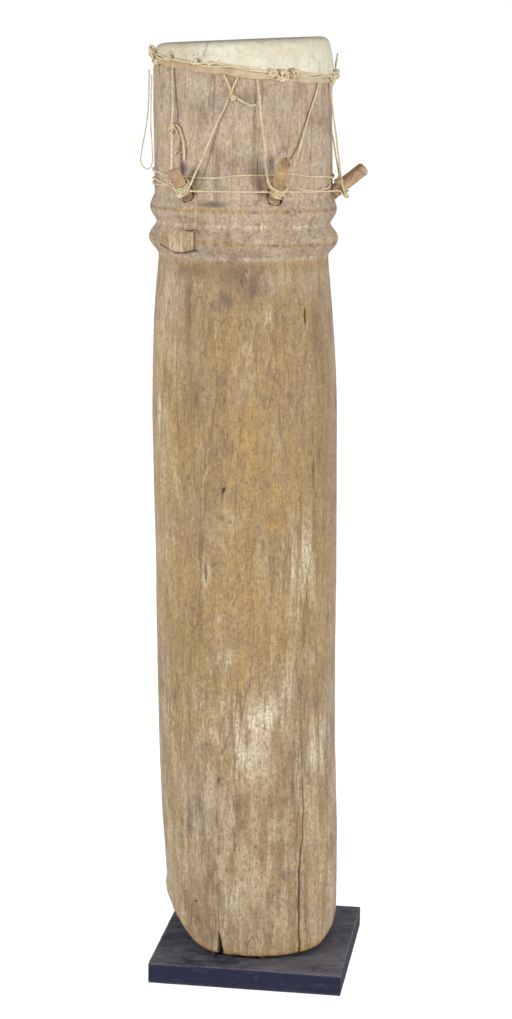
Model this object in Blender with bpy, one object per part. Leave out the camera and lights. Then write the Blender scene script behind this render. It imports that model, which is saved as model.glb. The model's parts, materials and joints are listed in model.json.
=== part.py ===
"""Tall carved log drum with a pegged and laced skin head, held on pins above a square wooden plinth.

Metres, +Z up. The front is -Y. A bearing is an angle round the drum from the front towards +X.
"""
import math

import bmesh
import bpy
from mathutils import Vector

for old in list(bpy.data.objects):
    bpy.data.objects.remove(old, do_unlink=True)

# plinth and pins
PLINTH_SIDE = 0.250
PLINTH_THICK = 0.0274
PLINTH_ROUND = 0.0011
PIN_R = 0.0026
PIN_SOCKET = 0.018
PIN_BEARINGS = (14.0, -22.0, 134.0, 226.0)
FOOT_GAP = 0.0068
GAP = 0.0003

# barrel, cut from one log
SEGMENTS = 36
AXIS_X = -0.0139
AXIS_Y = 0.0113
LEAN = math.tan(math.radians(1.14))
LEAN_BEARING = -82.0
FOOT_KICK = 0.0088
KICK_TOP = 0.31
BOW = 0.0010
BOW_DROP = 0.3264
BOW_HALF = 0.10
FOOT_Z = PLINTH_THICK + FOOT_GAP
RIM_Z = 1.1964
BOW_Z = RIM_Z - BOW_DROP
NECK_DROP = 0.0764
NECK_Z = RIM_Z - NECK_DROP
RIM_SIDE_SLOPE = 0.050
RIM_BACK_SLOPE = 0.020
WALL = 0.018
FOOT_WALL = 0.013
RIM_WALL = 0.009

FOOT_R = 0.1105
LOW_R = 0.1157
BELLY_R = 0.1181
WAIST_R = 0.1074
GROOVE_R = 0.1098
NECK_R = 0.1118
RIM_R = 0.1060
RIM_ROUND = 0.0060
LOW_Z = 0.25
BELLY_Z = 0.700
WAIST_DROP = 0.2704
WAIST_Z = RIM_Z - WAIST_DROP
SHOULDER_DROP = 0.0314
SHOULDER_Z = RIM_Z - SHOULDER_DROP

# the two carved rings
RING_LOW_DROP = 0.2439
RING_LOW_Z = RIM_Z - RING_LOW_DROP
RING_LOW_HALF = 0.0195
RING_LOW_PROUD = 0.0108
RING_APART = 0.0380
RING_UP_Z = RING_LOW_Z + RING_APART
RING_UP_HALF = 0.0175
RING_UP_PROUD = 0.0078

# worn foot: the edge climbs at the left and a little at the right
WEAR_LEFT = 0.060
WEAR_LEFT_BEARING = -85.0
WEAR_LEFT_HALF = 63.0
WEAR_RIGHT = 0.024
WEAR_RIGHT_BEARING = 100.0
WEAR_RIGHT_HALF = 50.0
WEAR_REACH = 0.150

# broken lug on the lower ring, slot, notch and long split
LUG_BEARING = -36.5
LUG_WIDE = 0.064
LUG_UNDER = 0.0130
LUG_OVER = 0.0165
LUG_LOW = RING_LOW_Z - LUG_UNDER
LUG_HIGH = RING_LOW_Z + LUG_OVER
LUG_FACE = 0.1175
LUG_TURN = 0.0050
SLOT_BEARING = 51.0
SLOT_DROP = 0.0780
SLOT_TALL = 0.0225
SLOT_HIGH = RING_LOW_Z - SLOT_DROP
SLOT_LOW = SLOT_HIGH - SLOT_TALL
SLOT_WIDE = 0.0032
SLOT_DEEP = 0.011
NOTCH_BEARING = -15.2
NOTCH_WIDE = 0.0072
NOTCH_TOP = 0.0610
SPLIT_WIDE = 0.0021
SPLIT_DEEP = 0.012
SPLIT_ROUTE = ((46.0, 0.262), (46.0, 0.2287), (44.8, 0.186), (41.7, 0.149), (40.8, 0.095), (40.4, 0.020))

# pegs: bearing, rise, length outside, radius, and how far out its laces end; one more stood at -90 and is lost
PEG_DROP = 0.1856
PEG_Z = RIM_Z - PEG_DROP
PEG_SOCKET = 0.012
PEGS = (
    (-28.9, 44.0, 0.047, 0.0078, 0.0225),
    (28.5, 51.0, 0.060, 0.0083, 0.0225),
    (90.5, 39.0, 0.0535, 0.0088, 0.0185),
    (151.0, 43.0, 0.047, 0.0078, 0.0215),
    (210.0, 45.0, 0.050, 0.0080, 0.0215),
)

# skin head, binding cord and laces
SKIN = 0.0013
HEM_DROP = 0.0375
HEM_Z = RIM_Z - HEM_DROP
HEM_SLOPE = 0.0123
HEM_LOW_BEARING = 68.0
BIND_OVER_HEM = 0.0076
BIND_Z = HEM_Z + BIND_OVER_HEM
BIND_SLOPE = 0.0120
BIND_LOW_BEARING = 82.0
BIND_R = 0.0016
KNOTS = ((-80.0, 2.6), (-43.0, 1.9), (-21.0, 1.8), (-10.0, 1.5), (37.0, 2.8), (93.0, 2.6), (160.0, 2.0), (220.0, 2.0))
CORD_R = 0.00135
BELT_OVER_PEGS = 0.0237
BELT_UP_Z = PEG_Z + BELT_OVER_PEGS
BELT_LOOSE = ((232.0, 0.0107), (262.0, 0.0154), (296.0, 0.0154))
FLAP_OVER_HEM = 0.0011
LACE_FIRST = -11.0
LACE_SECOND = 34.0
WRAP_TURNS = 2.3


def spread(a, b, t):
    """Blend two values."""
    return a + (b - a) * t


def facing(bearing):
    """Unit vector that points out of the drum at a bearing."""
    t = math.radians(bearing)
    return Vector((math.sin(t), -math.cos(t), 0.0))


def axis_at(z):
    """Centre of the barrel at a height: it leans, with a kick at the foot."""
    lean = LEAN * z
    if z < KICK_TOP:
        lean -= FOOT_KICK * ((KICK_TOP - max(z, 0.0)) / KICK_TOP) ** 1.3
    lean += BOW * math.exp(-(((z - BOW_Z) / BOW_HALF) ** 2))
    return Vector((AXIS_X, AXIS_Y, z)) + facing(LEAN_BEARING) * lean


def ease(t):
    """Smooth step from 0 to 1."""
    t = min(max(t, 0.0), 1.0)
    return t * t * (3.0 - 2.0 * t)


def barrel_radius(z):
    """Radius of the barrel without its rings."""
    if z < LOW_Z:
        return spread(FOOT_R, LOW_R, math.sin(math.pi / 2 * max(z - FOOT_Z, 0.0) / (LOW_Z - FOOT_Z)))
    if z < BELLY_Z:
        t = (z - LOW_Z) / (BELLY_Z - LOW_Z)
        return spread(LOW_R, BELLY_R, ease(t) ** 1.4)
    if z < WAIST_Z:
        t = (z - BELLY_Z) / (WAIST_Z - BELLY_Z)
        return spread(BELLY_R, WAIST_R, t ** 2.1)
    if z < RING_UP_Z:
        return spread(WAIST_R, GROOVE_R, ease((z - WAIST_Z) / (RING_UP_Z - WAIST_Z) * 1.4))
    if z < RING_UP_Z + RING_UP_HALF:
        return spread(GROOVE_R, NECK_R, ease((z - RING_UP_Z) / RING_UP_HALF))
    if z < SHOULDER_Z:
        return NECK_R
    return spread(NECK_R, RIM_R, min(1.0, (z - SHOULDER_Z) / (RIM_Z - SHOULDER_Z)))


def ring_bump(z):
    """How far the two carved rings stand out at a height."""
    bump = 0.0
    for mid, half, proud in ((RING_LOW_Z, RING_LOW_HALF, RING_LOW_PROUD), (RING_UP_Z, RING_UP_HALF, RING_UP_PROUD)):
        t = abs(z - mid) / half
        if t < 1.0:
            bump = max(bump, proud * math.cos(math.pi / 2 * t) ** 1.4)
    return bump


def outside(z):
    """Outer radius of the barrel at a level."""
    return barrel_radius(z) + ring_bump(z)


def swing(bearing, mid):
    """Difference of two bearings, between -180 and 180."""
    return (bearing - mid + 180.0) % 360.0 - 180.0


def wear(bearing):
    """How high the worn foot edge climbs at a bearing."""
    rise = 0.0
    for height, mid, half in (
        (WEAR_LEFT, WEAR_LEFT_BEARING, WEAR_LEFT_HALF),
        (WEAR_RIGHT, WEAR_RIGHT_BEARING, WEAR_RIGHT_HALF),
    ):
        off = abs(swing(bearing, mid)) / half
        if off < 1.0:
            rise += height * math.cos(math.pi / 2 * off) ** 2
    return rise


def rim_tilt(bearing, radius=RIM_R):
    """Height of the slanted rim plane over its centre at a bearing."""
    way = facing(bearing)
    return radius * (RIM_SIDE_SLOPE * way.x + RIM_BACK_SLOPE * way.y)


def level(z, bearing):
    """True height of a level, which follows the worn foot and the slanted rim."""
    reach = FOOT_Z + WEAR_REACH
    if z < reach:
        return z + wear(bearing) * (reach - z) / WEAR_REACH
    if z > NECK_Z:
        return z + rim_tilt(bearing) * (z - NECK_Z) / (RIM_Z - NECK_Z)
    return z


def level_of(z, bearing):
    """The level whose true height near the rim is z."""
    if z < NECK_Z:
        return z
    slope = rim_tilt(bearing) / (RIM_Z - NECK_Z)
    return (z + slope * NECK_Z) / (1.0 + slope)


def on_barrel(bearing, z, lift=0.0):
    """Point at a lift over the barrel's outside, at a true height."""
    return axis_at(z) + facing(bearing) * (outside(level_of(z, bearing)) + lift)


def principled(name, colour, rough, metallic=0.0):
    """A plain material."""
    mat = bpy.data.materials.new(name)
    mat.use_nodes = True
    node = mat.node_tree.nodes["Principled BSDF"]
    node.inputs["Base Color"].default_value = (*colour, 1.0)
    node.inputs["Roughness"].default_value = rough
    node.inputs["Metallic"].default_value = metallic
    return mat


def shape(name, verts, faces, mat, smooth=True):
    """Object from corners and faces."""
    mesh = bpy.data.meshes.new(name)
    mesh.from_pydata([tuple(v) for v in verts], [], faces)
    bm = bmesh.new()
    bm.from_mesh(mesh)
    bmesh.ops.recalc_face_normals(bm, faces=bm.faces[:])
    bm.to_mesh(mesh)
    bm.free()
    mesh.materials.append(mat)
    if smooth:
        mesh.shade_smooth()
        mesh.set_sharp_from_angle(angle=math.radians(38))
    obj = bpy.data.objects.new(name, mesh)
    bpy.context.scene.collection.objects.link(obj)
    return obj


def cutter(name, verts, faces, body, mode="DIFFERENCE"):
    """A helper solid taken from or added to a body."""
    tool = shape(name, verts, faces, body.data.materials[0], smooth=False)
    tool.hide_render = True
    tool.display_type = "WIRE"
    mod = body.modifiers.new(name, "BOOLEAN")
    mod.operation = mode
    mod.solver = "EXACT"
    mod.object = tool
    return tool


def prism(loop_a, loop_b):
    """Corners and faces of a prism between two loops of equal length."""
    n = len(loop_a)
    verts = list(loop_a) + list(loop_b)
    faces = [tuple(range(n))[::-1], tuple(range(n, 2 * n))]
    for i in range(n):
        j = (i + 1) % n
        faces.append((i, j, n + j, n + i))
    return verts, faces


def rod_between(a, b, radius, sides, end_radius=None):
    """Corners and faces of a round rod from a to b."""
    way = (b - a).normalized()
    side = way.cross(Vector((0, 0, 1))) if abs(way.z) < 0.95 else way.cross(Vector((1, 0, 0)))
    side.normalize()
    up = side.cross(way)
    loops = []
    for point, r in ((a, radius), (b, end_radius or radius)):
        ring = []
        for i in range(sides):
            t = 2 * math.pi * i / sides
            ring.append(point + side * (r * math.cos(t)) + up * (r * math.sin(t)))
        loops.append(ring)
    return prism(loops[0], loops[1])


def cord(name, points, radius, mat, closed=False, swell=None, sides_level=1):
    """A round cord along points, thicker where swell says."""
    data = bpy.data.curves.new(name, "CURVE")
    data.dimensions = "3D"
    data.bevel_depth = radius
    data.bevel_resolution = sides_level
    data.use_fill_caps = not closed
    data.twist_mode = "MINIMUM"
    line = data.splines.new("POLY")
    line.points.add(len(points) - 1)
    for i, point in enumerate(points):
        line.points[i].co = (*point, 1.0)
        line.points[i].radius = swell[i] if swell else 1.0
    line.use_cyclic_u = closed
    line.use_smooth = True
    data.materials.append(mat)
    obj = bpy.data.objects.new(name, data)
    bpy.context.scene.collection.objects.link(obj)
    return obj


def smooth_route(route, count):
    """Evenly spaced points on a smooth curve through a few chosen ones."""
    pts = [Vector(p) for p in route]
    ext = [pts[0] * 2 - pts[1]] + pts + [pts[-1] * 2 - pts[-2]]
    dense = []
    for i in range(1, len(ext) - 2):
        a, b, c, d = ext[i - 1], ext[i], ext[i + 1], ext[i + 2]
        for k in range(24):
            t = k / 24
            dense.append(
                0.5 * ((2 * b) + (c - a) * t + (2 * a - 5 * b + 4 * c - d) * t * t + (3 * b - a - 3 * c + d) * t ** 3)
            )
    dense.append(pts[-1])
    run = [0.0]
    for p, q in zip(dense, dense[1:]):
        run.append(run[-1] + (q - p).length)
    out = []
    j = 0
    for i in range(count):
        want = run[-1] * i / (count - 1)
        while j < len(run) - 2 and run[j + 1] < want:
            j += 1
        t = (want - run[j]) / max(run[j + 1] - run[j], 1e-9)
        out.append(dense[j].lerp(dense[j + 1], min(max(t, 0.0), 1.0)))
    return out


def build_plinth():
    """Square dark plinth with softened edges."""
    mat = principled("plinth_wood", (0.040, 0.040, 0.052), 0.55)
    bm = bmesh.new()
    bmesh.ops.create_cube(bm, size=1.0)
    mesh = bpy.data.meshes.new("plinth")
    bmesh.ops.scale(bm, vec=(PLINTH_SIDE, PLINTH_SIDE, PLINTH_THICK), verts=bm.verts[:])
    bmesh.ops.translate(bm, vec=(0, 0, PLINTH_THICK / 2), verts=bm.verts[:])
    bm.to_mesh(mesh)
    bm.free()
    mesh.materials.append(mat)
    obj = bpy.data.objects.new("plinth", mesh)
    bpy.context.scene.collection.objects.link(obj)
    bevel = obj.modifiers.new("round", "BEVEL")
    bevel.width = PLINTH_ROUND
    bevel.segments = 2
    bevel.limit_method = "ANGLE"
    return obj


def barrel_levels():
    """Levels of the outside rows, close together at the rings."""
    rows = [FOOT_Z, 0.060, 0.100, 0.150, LOW_Z, 0.38, 0.50, 0.60]
    rows += [BELLY_Z, 0.770, 0.820, 0.865, 0.900, WAIST_Z]
    for part in (-0.97, -0.60, -0.28, 0.06, 0.40, 0.72):
        rows.append(RING_LOW_Z + RING_LOW_HALF * part)
    for part in (-0.90, -0.55, -0.24, 0.08, 0.42, 0.75, 1.15):
        rows.append(RING_UP_Z + RING_UP_HALF * part)
    rows += [PEG_Z + 0.0542, NECK_Z, SHOULDER_Z, RIM_Z - 1.4 * RIM_ROUND, RIM_Z - 0.4 * RIM_ROUND, RIM_Z]
    return sorted(rows)


def inner_radius(z):
    """Radius of the hollow."""
    wall = WALL
    if z < 0.12:
        wall = spread(FOOT_WALL, WALL, ease((z - FOOT_Z) / (0.12 - FOOT_Z)))
    if z > NECK_Z:
        wall = spread(WALL, RIM_WALL, ease((z - NECK_Z) / (RIM_Z - NECK_Z)))
    if WAIST_Z - 0.08 < z < RING_UP_Z + 0.05:
        return WAIST_R - wall
    return barrel_radius(z) - wall


def build_body():
    """The hollow log with its rings, lug, sockets, notch and split."""
    mat = principled("log_wood", (0.430, 0.310, 0.180), 0.72)
    out_rows = barrel_levels()
    in_rows = [RIM_Z, NECK_Z, PEG_Z + 0.0192, WAIST_Z - 0.026, BELLY_Z, 0.51, LOW_Z, 0.12, FOOT_Z]
    verts = []
    loops = []
    for z in out_rows:
        r = outside(z)
        if z > RIM_Z - RIM_ROUND:
            r -= RIM_ROUND * (0.30 if z < RIM_Z else 1.0)
        loops.append((z, r))
    for z in in_rows:
        loops.append((z, inner_radius(z)))
    for z, r in loops:
        for i in range(SEGMENTS):
            bearing = 360.0 * i / SEGMENTS
            high = level(z, bearing)
            verts.append(axis_at(high) + facing(bearing) * r)
    faces = []
    rows = len(loops)
    for a in range(rows):
        b = (a + 1) % rows
        for i in range(SEGMENTS):
            j = (i + 1) % SEGMENTS
            faces.append((a * SEGMENTS + i, a * SEGMENTS + j, b * SEGMENTS + j, b * SEGMENTS + i))
    body = shape("drum_body", verts, faces, mat)

    mid = axis_at(RING_LOW_Z)
    way = facing(LUG_BEARING)
    side = Vector((-way.y, way.x, 0.0))
    half = LUG_WIDE / 2
    low = Vector((0, 0, LUG_LOW - RING_LOW_Z))
    high = Vector((0, 0, LUG_HIGH - RING_LOW_Z))
    face_loop = []
    for across, up in ((-1.0, 0.45), (-0.30, 1.0), (0.25, 0.97), (1.0, 0.55), (0.96, -0.94), (0.4, -1.0), (-0.9, -0.68)):
        out = LUG_FACE - LUG_TURN * (1.0 - across) / 2
        rise = low * up if up > 0 else high * -up
        face_loop.append(mid + way * out + side * half * across + rise)
    back_loop = [p - way * 0.016 for p in face_loop]
    cutter("lug_block", *prism(back_loop, face_loop), body, "UNION")

    for k, peg in enumerate(PEGS):
        a, way, _tip = peg_line(k)
        cutter(f"socket_{k + 1}", *rod_between(a, a + way * 0.05, peg[3] + GAP, 12), body)

    for k, bearing in enumerate(PIN_BEARINGS):
        foot = pin_foot(bearing)
        tall = level(FOOT_Z, bearing) + PIN_SOCKET + 0.001
        a = Vector((foot.x, foot.y, PLINTH_THICK - 0.002))
        b = Vector((foot.x, foot.y, tall))
        cutter(f"pin_hole_{k + 1}", *rod_between(a, b, PIN_R + GAP, 10), body)

    way = facing(SLOT_BEARING)
    side = Vector((-way.y, way.x, 0.0))
    mid = on_barrel(SLOT_BEARING, (SLOT_LOW + SLOT_HIGH) / 2)
    tall = (SLOT_HIGH - SLOT_LOW) / 2
    loop = [
        mid + side * SLOT_WIDE / 2 - Vector((0, 0, tall * 0.7)),
        mid + side * SLOT_WIDE / 2 + Vector((0, 0, tall * 0.8)),
        mid + Vector((0, 0, tall)),
        mid - side * SLOT_WIDE / 2 + Vector((0, 0, tall * 0.7)),
        mid - side * SLOT_WIDE / 2 - Vector((0, 0, tall * 0.8)),
        mid - Vector((0, 0, tall)),
    ]
    cutter("slot_cut", *prism([p - way * SLOT_DEEP for p in loop], [p + way * 0.01 for p in loop]), body)

    way = facing(NOTCH_BEARING)
    side = Vector((-way.y, way.x, 0.0))
    foot = axis_at(FOOT_Z)
    loop = []
    for across, high in ((-0.42, 0.020), (0.5, 0.020), (0.5, 0.040), (0.36, 0.050), (0.0, NOTCH_TOP), (-0.3, 0.048)):
        loop.append(Vector((foot.x, foot.y, high)) + side * NOTCH_WIDE * across)
    cutter("notch_cut", *prism([p + way * 0.085 for p in loop], [p + way * 0.13 for p in loop]), body)

    verts = []
    faces = []
    last = len(SPLIT_ROUTE) - 1
    for i, (bearing, z) in enumerate(SPLIT_ROUTE):
        way = facing(bearing)
        side = Vector((-way.y, way.x, 0.0))
        half = SPLIT_WIDE / 2 * spread(0.30, 1.0, i / last)
        skin_point = axis_at(z) + way * outside(z)
        outer = skin_point + way * 0.006
        inner = skin_point - way * SPLIT_DEEP
        verts += [outer - side * half, outer + side * half, inner + side * half, inner - side * half]
        if i:
            for k in range(4):
                j = (k + 1) % 4
                faces.append((4 * (i - 1) + k, 4 * (i - 1) + j, 4 * i + j, 4 * i + k))
    faces.append((0, 1, 2, 3))
    faces.append((4 * last + 3, 4 * last + 2, 4 * last + 1, 4 * last))
    cutter("split_cut", verts, faces, body)
    return body


def pin_foot(bearing):
    """Where a mounting pin stands, under the middle of the wall."""
    high = level(FOOT_Z, bearing)
    return axis_at(high) + facing(bearing) * (FOOT_R - FOOT_WALL / 2)


def build_pins():
    """Plain metal pins between the plinth and the foot."""
    mat = principled("pin_metal", (0.10, 0.085, 0.075), 0.45, 0.9)
    for k, bearing in enumerate(PIN_BEARINGS):
        foot = pin_foot(bearing)
        a = Vector((foot.x, foot.y, PLINTH_THICK + GAP))
        b = Vector((foot.x, foot.y, level(FOOT_Z, bearing) + PIN_SOCKET))
        shape(f"pin_{k + 1}", *rod_between(a, b, PIN_R, 10), mat)


def peg_line(k):
    """Bottom of a peg in its socket, its direction and its tip."""
    bearing, rise, out, _radius, _hold = PEGS[k]
    rise = math.radians(rise)
    way = facing(bearing) * math.cos(rise) + Vector((0, 0, math.sin(rise)))
    mouth = on_barrel(bearing, PEG_Z)
    return mouth - way * PEG_SOCKET, way, mouth + way * out


def peg_sides(way):
    """Side of a peg towards lower bearings, and its upper side."""
    side = way.cross(Vector((0, 0, 1))).normalized()
    return side, side.cross(way)


def build_pegs():
    """Whittled pegs, slightly uneven, with rounded tips."""
    mat = principled("peg_wood", (0.400, 0.235, 0.120), 0.62)
    sides = 9
    for k, peg in enumerate(PEGS):
        a, way, tip = peg_line(k)
        start = a + way * (GAP * 2)
        side, up = peg_sides(way)
        long = (tip - start).length
        verts = []
        stations = ((0.0, 0.86), (0.004, 1.0), (0.45 * long, 0.985), (0.80 * long, 0.97))
        stations += ((long - 0.0050, 0.90), (long - 0.0015, 0.66), (long, 0.30))
        for along, width in stations:
            for i in range(sides):
                t = 2 * math.pi * i / sides
                flat = 1.0 - 0.05 * (0.5 + 0.5 * math.cos(3 * t + k))
                r = peg[3] * width * flat
                verts.append(start + way * along + side * (r * math.cos(t)) + up * (r * math.sin(t)))
        faces = []
        rows = len(stations)
        for row in range(rows - 1):
            for i in range(sides):
                j = (i + 1) % sides
                faces.append((row * sides + i, row * sides + j, (row + 1) * sides + j, (row + 1) * sides + i))
        faces.append(tuple(range(sides))[::-1])
        faces.append(tuple(range((rows - 1) * sides, rows * sides)))
        shape(f"peg_{k + 1}", verts, faces, mat)


def hem_height(bearing):
    """Height of the skin's lower edge."""
    return HEM_Z - HEM_SLOPE * math.cos(math.radians(bearing - HEM_LOW_BEARING))


def bind_height(bearing):
    """Height of the binding cord."""
    return BIND_Z - BIND_SLOPE * math.cos(math.radians(bearing - BIND_LOW_BEARING))


def skin_radius(z, bearing):
    """Outer radius of the skin's side at a true height."""
    return outside(level_of(z, bearing)) + GAP + SKIN


def build_head():
    """Thin skin drawn over the rim, with a slanted hem."""
    mat = principled("skin", (0.760, 0.680, 0.500), 0.60)
    verts = []
    rows = []
    for i in range(SEGMENTS):
        bearing = 360.0 * i / SEGMENTS
        hem = hem_height(bearing)
        top = level(RIM_Z, bearing)
        column = []
        upper = max(level(SHOULDER_Z, bearing), hem + 0.009)
        for z, extra in ((hem, 0.0006), (hem + 0.005, 0.0005), (upper, 0.0004)):
            column.append((z, skin_radius(z, bearing) + extra))
        edge = RIM_R + GAP + SKIN
        column.append((top - 0.0094, edge + 0.0009))
        column.append((top - 0.0040, edge - 0.0008))
        column.append((top - 0.0004, edge - 0.0040))
        column.append((top + GAP + SKIN, edge - 0.0120))
        column.append((RIM_Z + rim_tilt(bearing, 0.05) + GAP + SKIN, 0.05))
        column.append((RIM_Z + rim_tilt(bearing, 0.05) + GAP, 0.05))
        column.append((top + GAP, edge - 0.0120))
        column.append((top + GAP * 1.4, RIM_R - RIM_ROUND))
        for part, cut in ((0.4, 0.30), (1.4, 0.0)):
            bend = level(RIM_Z - part * RIM_ROUND, bearing)
            column.append((bend, outside(RIM_Z - part * RIM_ROUND) - cut * RIM_ROUND + GAP * 1.5))
        column.append((upper, skin_radius(upper, bearing) - SKIN + 0.0003))
        column.append((hem + 0.005, skin_radius(hem + 0.005, bearing) - SKIN + 0.0002))
        column.append((hem, skin_radius(hem, bearing) - SKIN))
        rows = len(column)
        for z, r in column:
            verts.append(axis_at(z) + facing(bearing) * r)
    out_mid = len(verts)
    verts.append(axis_at(RIM_Z + GAP + SKIN))
    verts.append(axis_at(RIM_Z + GAP))
    faces = []
    for i in range(SEGMENTS):
        j = (i + 1) % SEGMENTS
        for a in range(rows):
            b = (a + 1) % rows
            if a == 7:
                continue
            faces.append((i * rows + a, j * rows + a, j * rows + b, i * rows + b))
        faces.append((i * rows + 7, j * rows + 7, out_mid))
        faces.append((i * rows + 8, j * rows + 8, out_mid + 1))
    shape("drumhead", verts, faces, mat)


def build_binding(mat):
    """Cord round the head with its knots."""
    count = 60
    points = []
    swell = []
    for i in range(count):
        bearing = -180.0 + 360.0 * i / count
        size = 1.0
        for at, factor in KNOTS:
            off = abs(swing(bearing, at)) / 5.0
            if off < 1.0:
                size = max(size, 1.0 + (factor - 1.0) * math.cos(math.pi / 2 * off))
        z = bind_height(bearing)
        r = skin_radius(z, bearing) + GAP * 2 + 0.0004 + BIND_R * size
        points.append(axis_at(z) + facing(bearing) * r)
        swell.append(size)
    cord("binding_cord", points, BIND_R, mat, closed=True, swell=swell)


def drape(a, b, count, lift):
    """Points on a taut line from a to b, lifted where the barrel is in the way."""
    out = []
    for i in range(count):
        p = a.lerp(b, i / (count - 1))
        mid = axis_at(p.z)
        flat = Vector((p.x - mid.x, p.y - mid.y, 0.0))
        bearing = math.degrees(math.atan2(flat.x, -flat.y))
        need = lift + max(outside(level_of(p.z + step, bearing)) for step in (-0.009, 0.0, 0.009))
        if flat.length < need:
            flat = flat.normalized() * need
        out.append(Vector((mid.x, mid.y, p.z)) + flat)
    return out


def build_laces(mat):
    """Two laces from the head to every peg."""
    lift = CORD_R + GAP
    for k, peg in enumerate(PEGS):
        _a, way, _tip = peg_line(k)
        mouth = on_barrel(peg[0], PEG_Z)
        side, _up = peg_sides(way)
        for n, off in enumerate((LACE_FIRST, LACE_SECOND)):
            top_bearing = peg[0] + off
            hem = hem_height(top_bearing) - 0.0006 - CORD_R
            top = on_barrel(top_bearing, hem, lift)
            hold = peg[4] if n == 0 else peg[4] - 0.0055
            left = 1.0 if n == 0 else -1.0
            end = mouth + way * hold + side * left * (peg[3] + CORD_R + GAP * 2 + 2 * CORD_R + 0.0006)
            cord(f"lace_{2 * k + n + 1}", drape(top, end, 7, lift), CORD_R, mat)


def build_belts(mat):
    """The upper belt runs behind the pegs and the lower one round them."""
    lift = CORD_R + GAP + 0.0001
    count = 48
    points = []
    for i in range(count):
        bearing = 360.0 * i / count
        points.append(on_barrel(bearing, BELT_UP_Z + 0.003 * math.sin(math.radians(3 * bearing)), lift))
    cord("belt_upper", points, CORD_R, mat, closed=True)

    points = []
    for k, peg in enumerate(PEGS):
        _a, way, _tip = peg_line(k)
        mouth = on_barrel(peg[0], PEG_Z)
        side, up = peg_sides(way)
        seat = mouth + way * 0.0105
        ring = peg[3] + CORD_R + GAP * 1.5
        turns = []
        for t in (20.0, 55.0, 90.0, 125.0, 160.0):
            a = math.radians(t)
            turns.append(seat + side * ring * math.cos(a) - up * ring * math.sin(a))
        if points:
            points += drape(points[-1], turns[0], 8, lift)[1:-1]
        points += turns
    stops = [points[-1]]
    for bearing, over in BELT_LOOSE:
        stops.append(on_barrel(bearing, PEG_Z + over, lift))
    stops.append(points[0])
    for a, b in zip(stops, stops[1:]):
        points += drape(a, b, 7, lift)[1:]
    cord("belt_lower", points[:-1], CORD_R, mat, closed=True)


def build_wraps(mat):
    """Turns of cord round every peg above the lower belt."""
    for k, peg in enumerate(PEGS):
        _a, way, _tip = peg_line(k)
        mouth = on_barrel(peg[0], PEG_Z)
        side, up = peg_sides(way)
        points = []
        count = 16
        pitch = 2 * CORD_R + 0.0003
        for i in range(count):
            turn = WRAP_TURNS * i / (count - 1)
            t = 2 * math.pi * turn
            along = 0.0138 + pitch * turn
            ring = (peg[3] + CORD_R + GAP) / math.cos(math.pi * WRAP_TURNS / (count - 1))
            points.append(mouth + way * along + side * ring * math.cos(t) + up * ring * math.sin(t))
        cord(f"peg_wrap_{k + 1}", points, CORD_R, mat)


def build_slack_loop(mat):
    """A thin cord end that hangs as a loop from the knot at the left."""
    base = -82.0
    route = []
    for off, out, z in (
        (0.5, 0.0050, 1.1600),
        (0.0, 0.0052, 1.1517),
        (-0.2, 0.0055, 1.1419),
        (-0.4, 0.0062, 1.1247),
        (-0.5, 0.0074, 1.1074),
        (-0.6, 0.0109, 1.0851),
        (-0.6, 0.0151, 1.0634),
        (-0.4, 0.0174, 1.0503),
        (0.0, 0.0159, 1.0416),
        (0.4, 0.0087, 1.0364),
        (0.7, 0.0040, 1.0405),
        (0.9, 0.0022, 1.0505),
        (1.2, 0.0026, 1.0667),
        (1.4, 0.0038, 1.0914),
        (1.6, 0.0031, 1.1223),
        (1.7, 0.0023, 1.1420),
        (1.8, 0.0020, 1.1530),
    ):
        route.append(on_barrel(base + off, z, out))
    cord("slack_loop", smooth_route(route, 46), 0.0008, mat, sides_level=2)


def build_small_cords(mat):
    """The bow on the first lace and the tail at the knot of the second."""
    lift = CORD_R + GAP * 2
    route = []
    for bearing, z, out in (
        (-37.5, 1.0925, 0.0),
        (-33.5, 1.0900, 0.0015),
        (-30.0, 1.0700, 0.0010),
        (-30.5, 1.0520, 0.0005),
    ):
        route.append(on_barrel(bearing, z, lift + out))
    cord("lace_bow", smooth_route(route, 12), CORD_R * 0.9, mat)
    route = []
    for bearing, z, out in ((5.5, 1.1275, 0.0), (9.0, 1.1235, 0.0008), (13.5, 1.1200, 0.0006), (17.0, 1.1215, 0.0)):
        route.append(on_barrel(bearing, z, lift + out))
    cord("lace_tail", smooth_route(route, 9), CORD_R * 0.9, mat)


def build_flap(mat):
    """Small leaf of spare skin that stands up behind the knot at the right."""
    bearing = 97.0
    way = facing(bearing)
    side = Vector((-way.y, way.x, 0.0))
    low = HEM_Z + FLAP_OVER_HEM
    base = axis_at(low) + way * (skin_radius(low, bearing) + 0.0012)
    outline = ((-0.0030, 0.000, 0.0), (0.0030, 0.000, 0.0), (0.0052, 0.008, 0.0012), (0.0040, 0.016, 0.0024))
    outline += ((0.0008, 0.0225, 0.0026), (-0.0022, 0.0185, 0.0022), (-0.0042, 0.010, 0.0012))
    front = []
    back = []
    for across, high, out in outline:
        p = base + side * across + Vector((0, 0, high)) + way * out
        back.append(p)
        front.append(p + way * SKIN)
    shape("skin_flap", *prism(back, front), mat, smooth=False)


def main():
    """Build every piece."""
    build_plinth()
    build_body()
    build_pins()
    build_pegs()
    build_head()
    mat = principled("fibre_cord", (0.680, 0.560, 0.340), 0.75)
    build_binding(mat)
    build_laces(mat)
    build_belts(mat)
    build_wraps(mat)
    build_slack_loop(mat)
    build_small_cords(mat)
    build_flap(bpy.data.materials["skin"])


main()
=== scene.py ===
"""A tall pegged log drum, dressed over its solids: carved log, skin head, fibre cords, pegs, pins and plinth."""

import json
import logging
import math
from collections.abc import Callable
from dataclasses import dataclass, field
from enum import Enum

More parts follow.
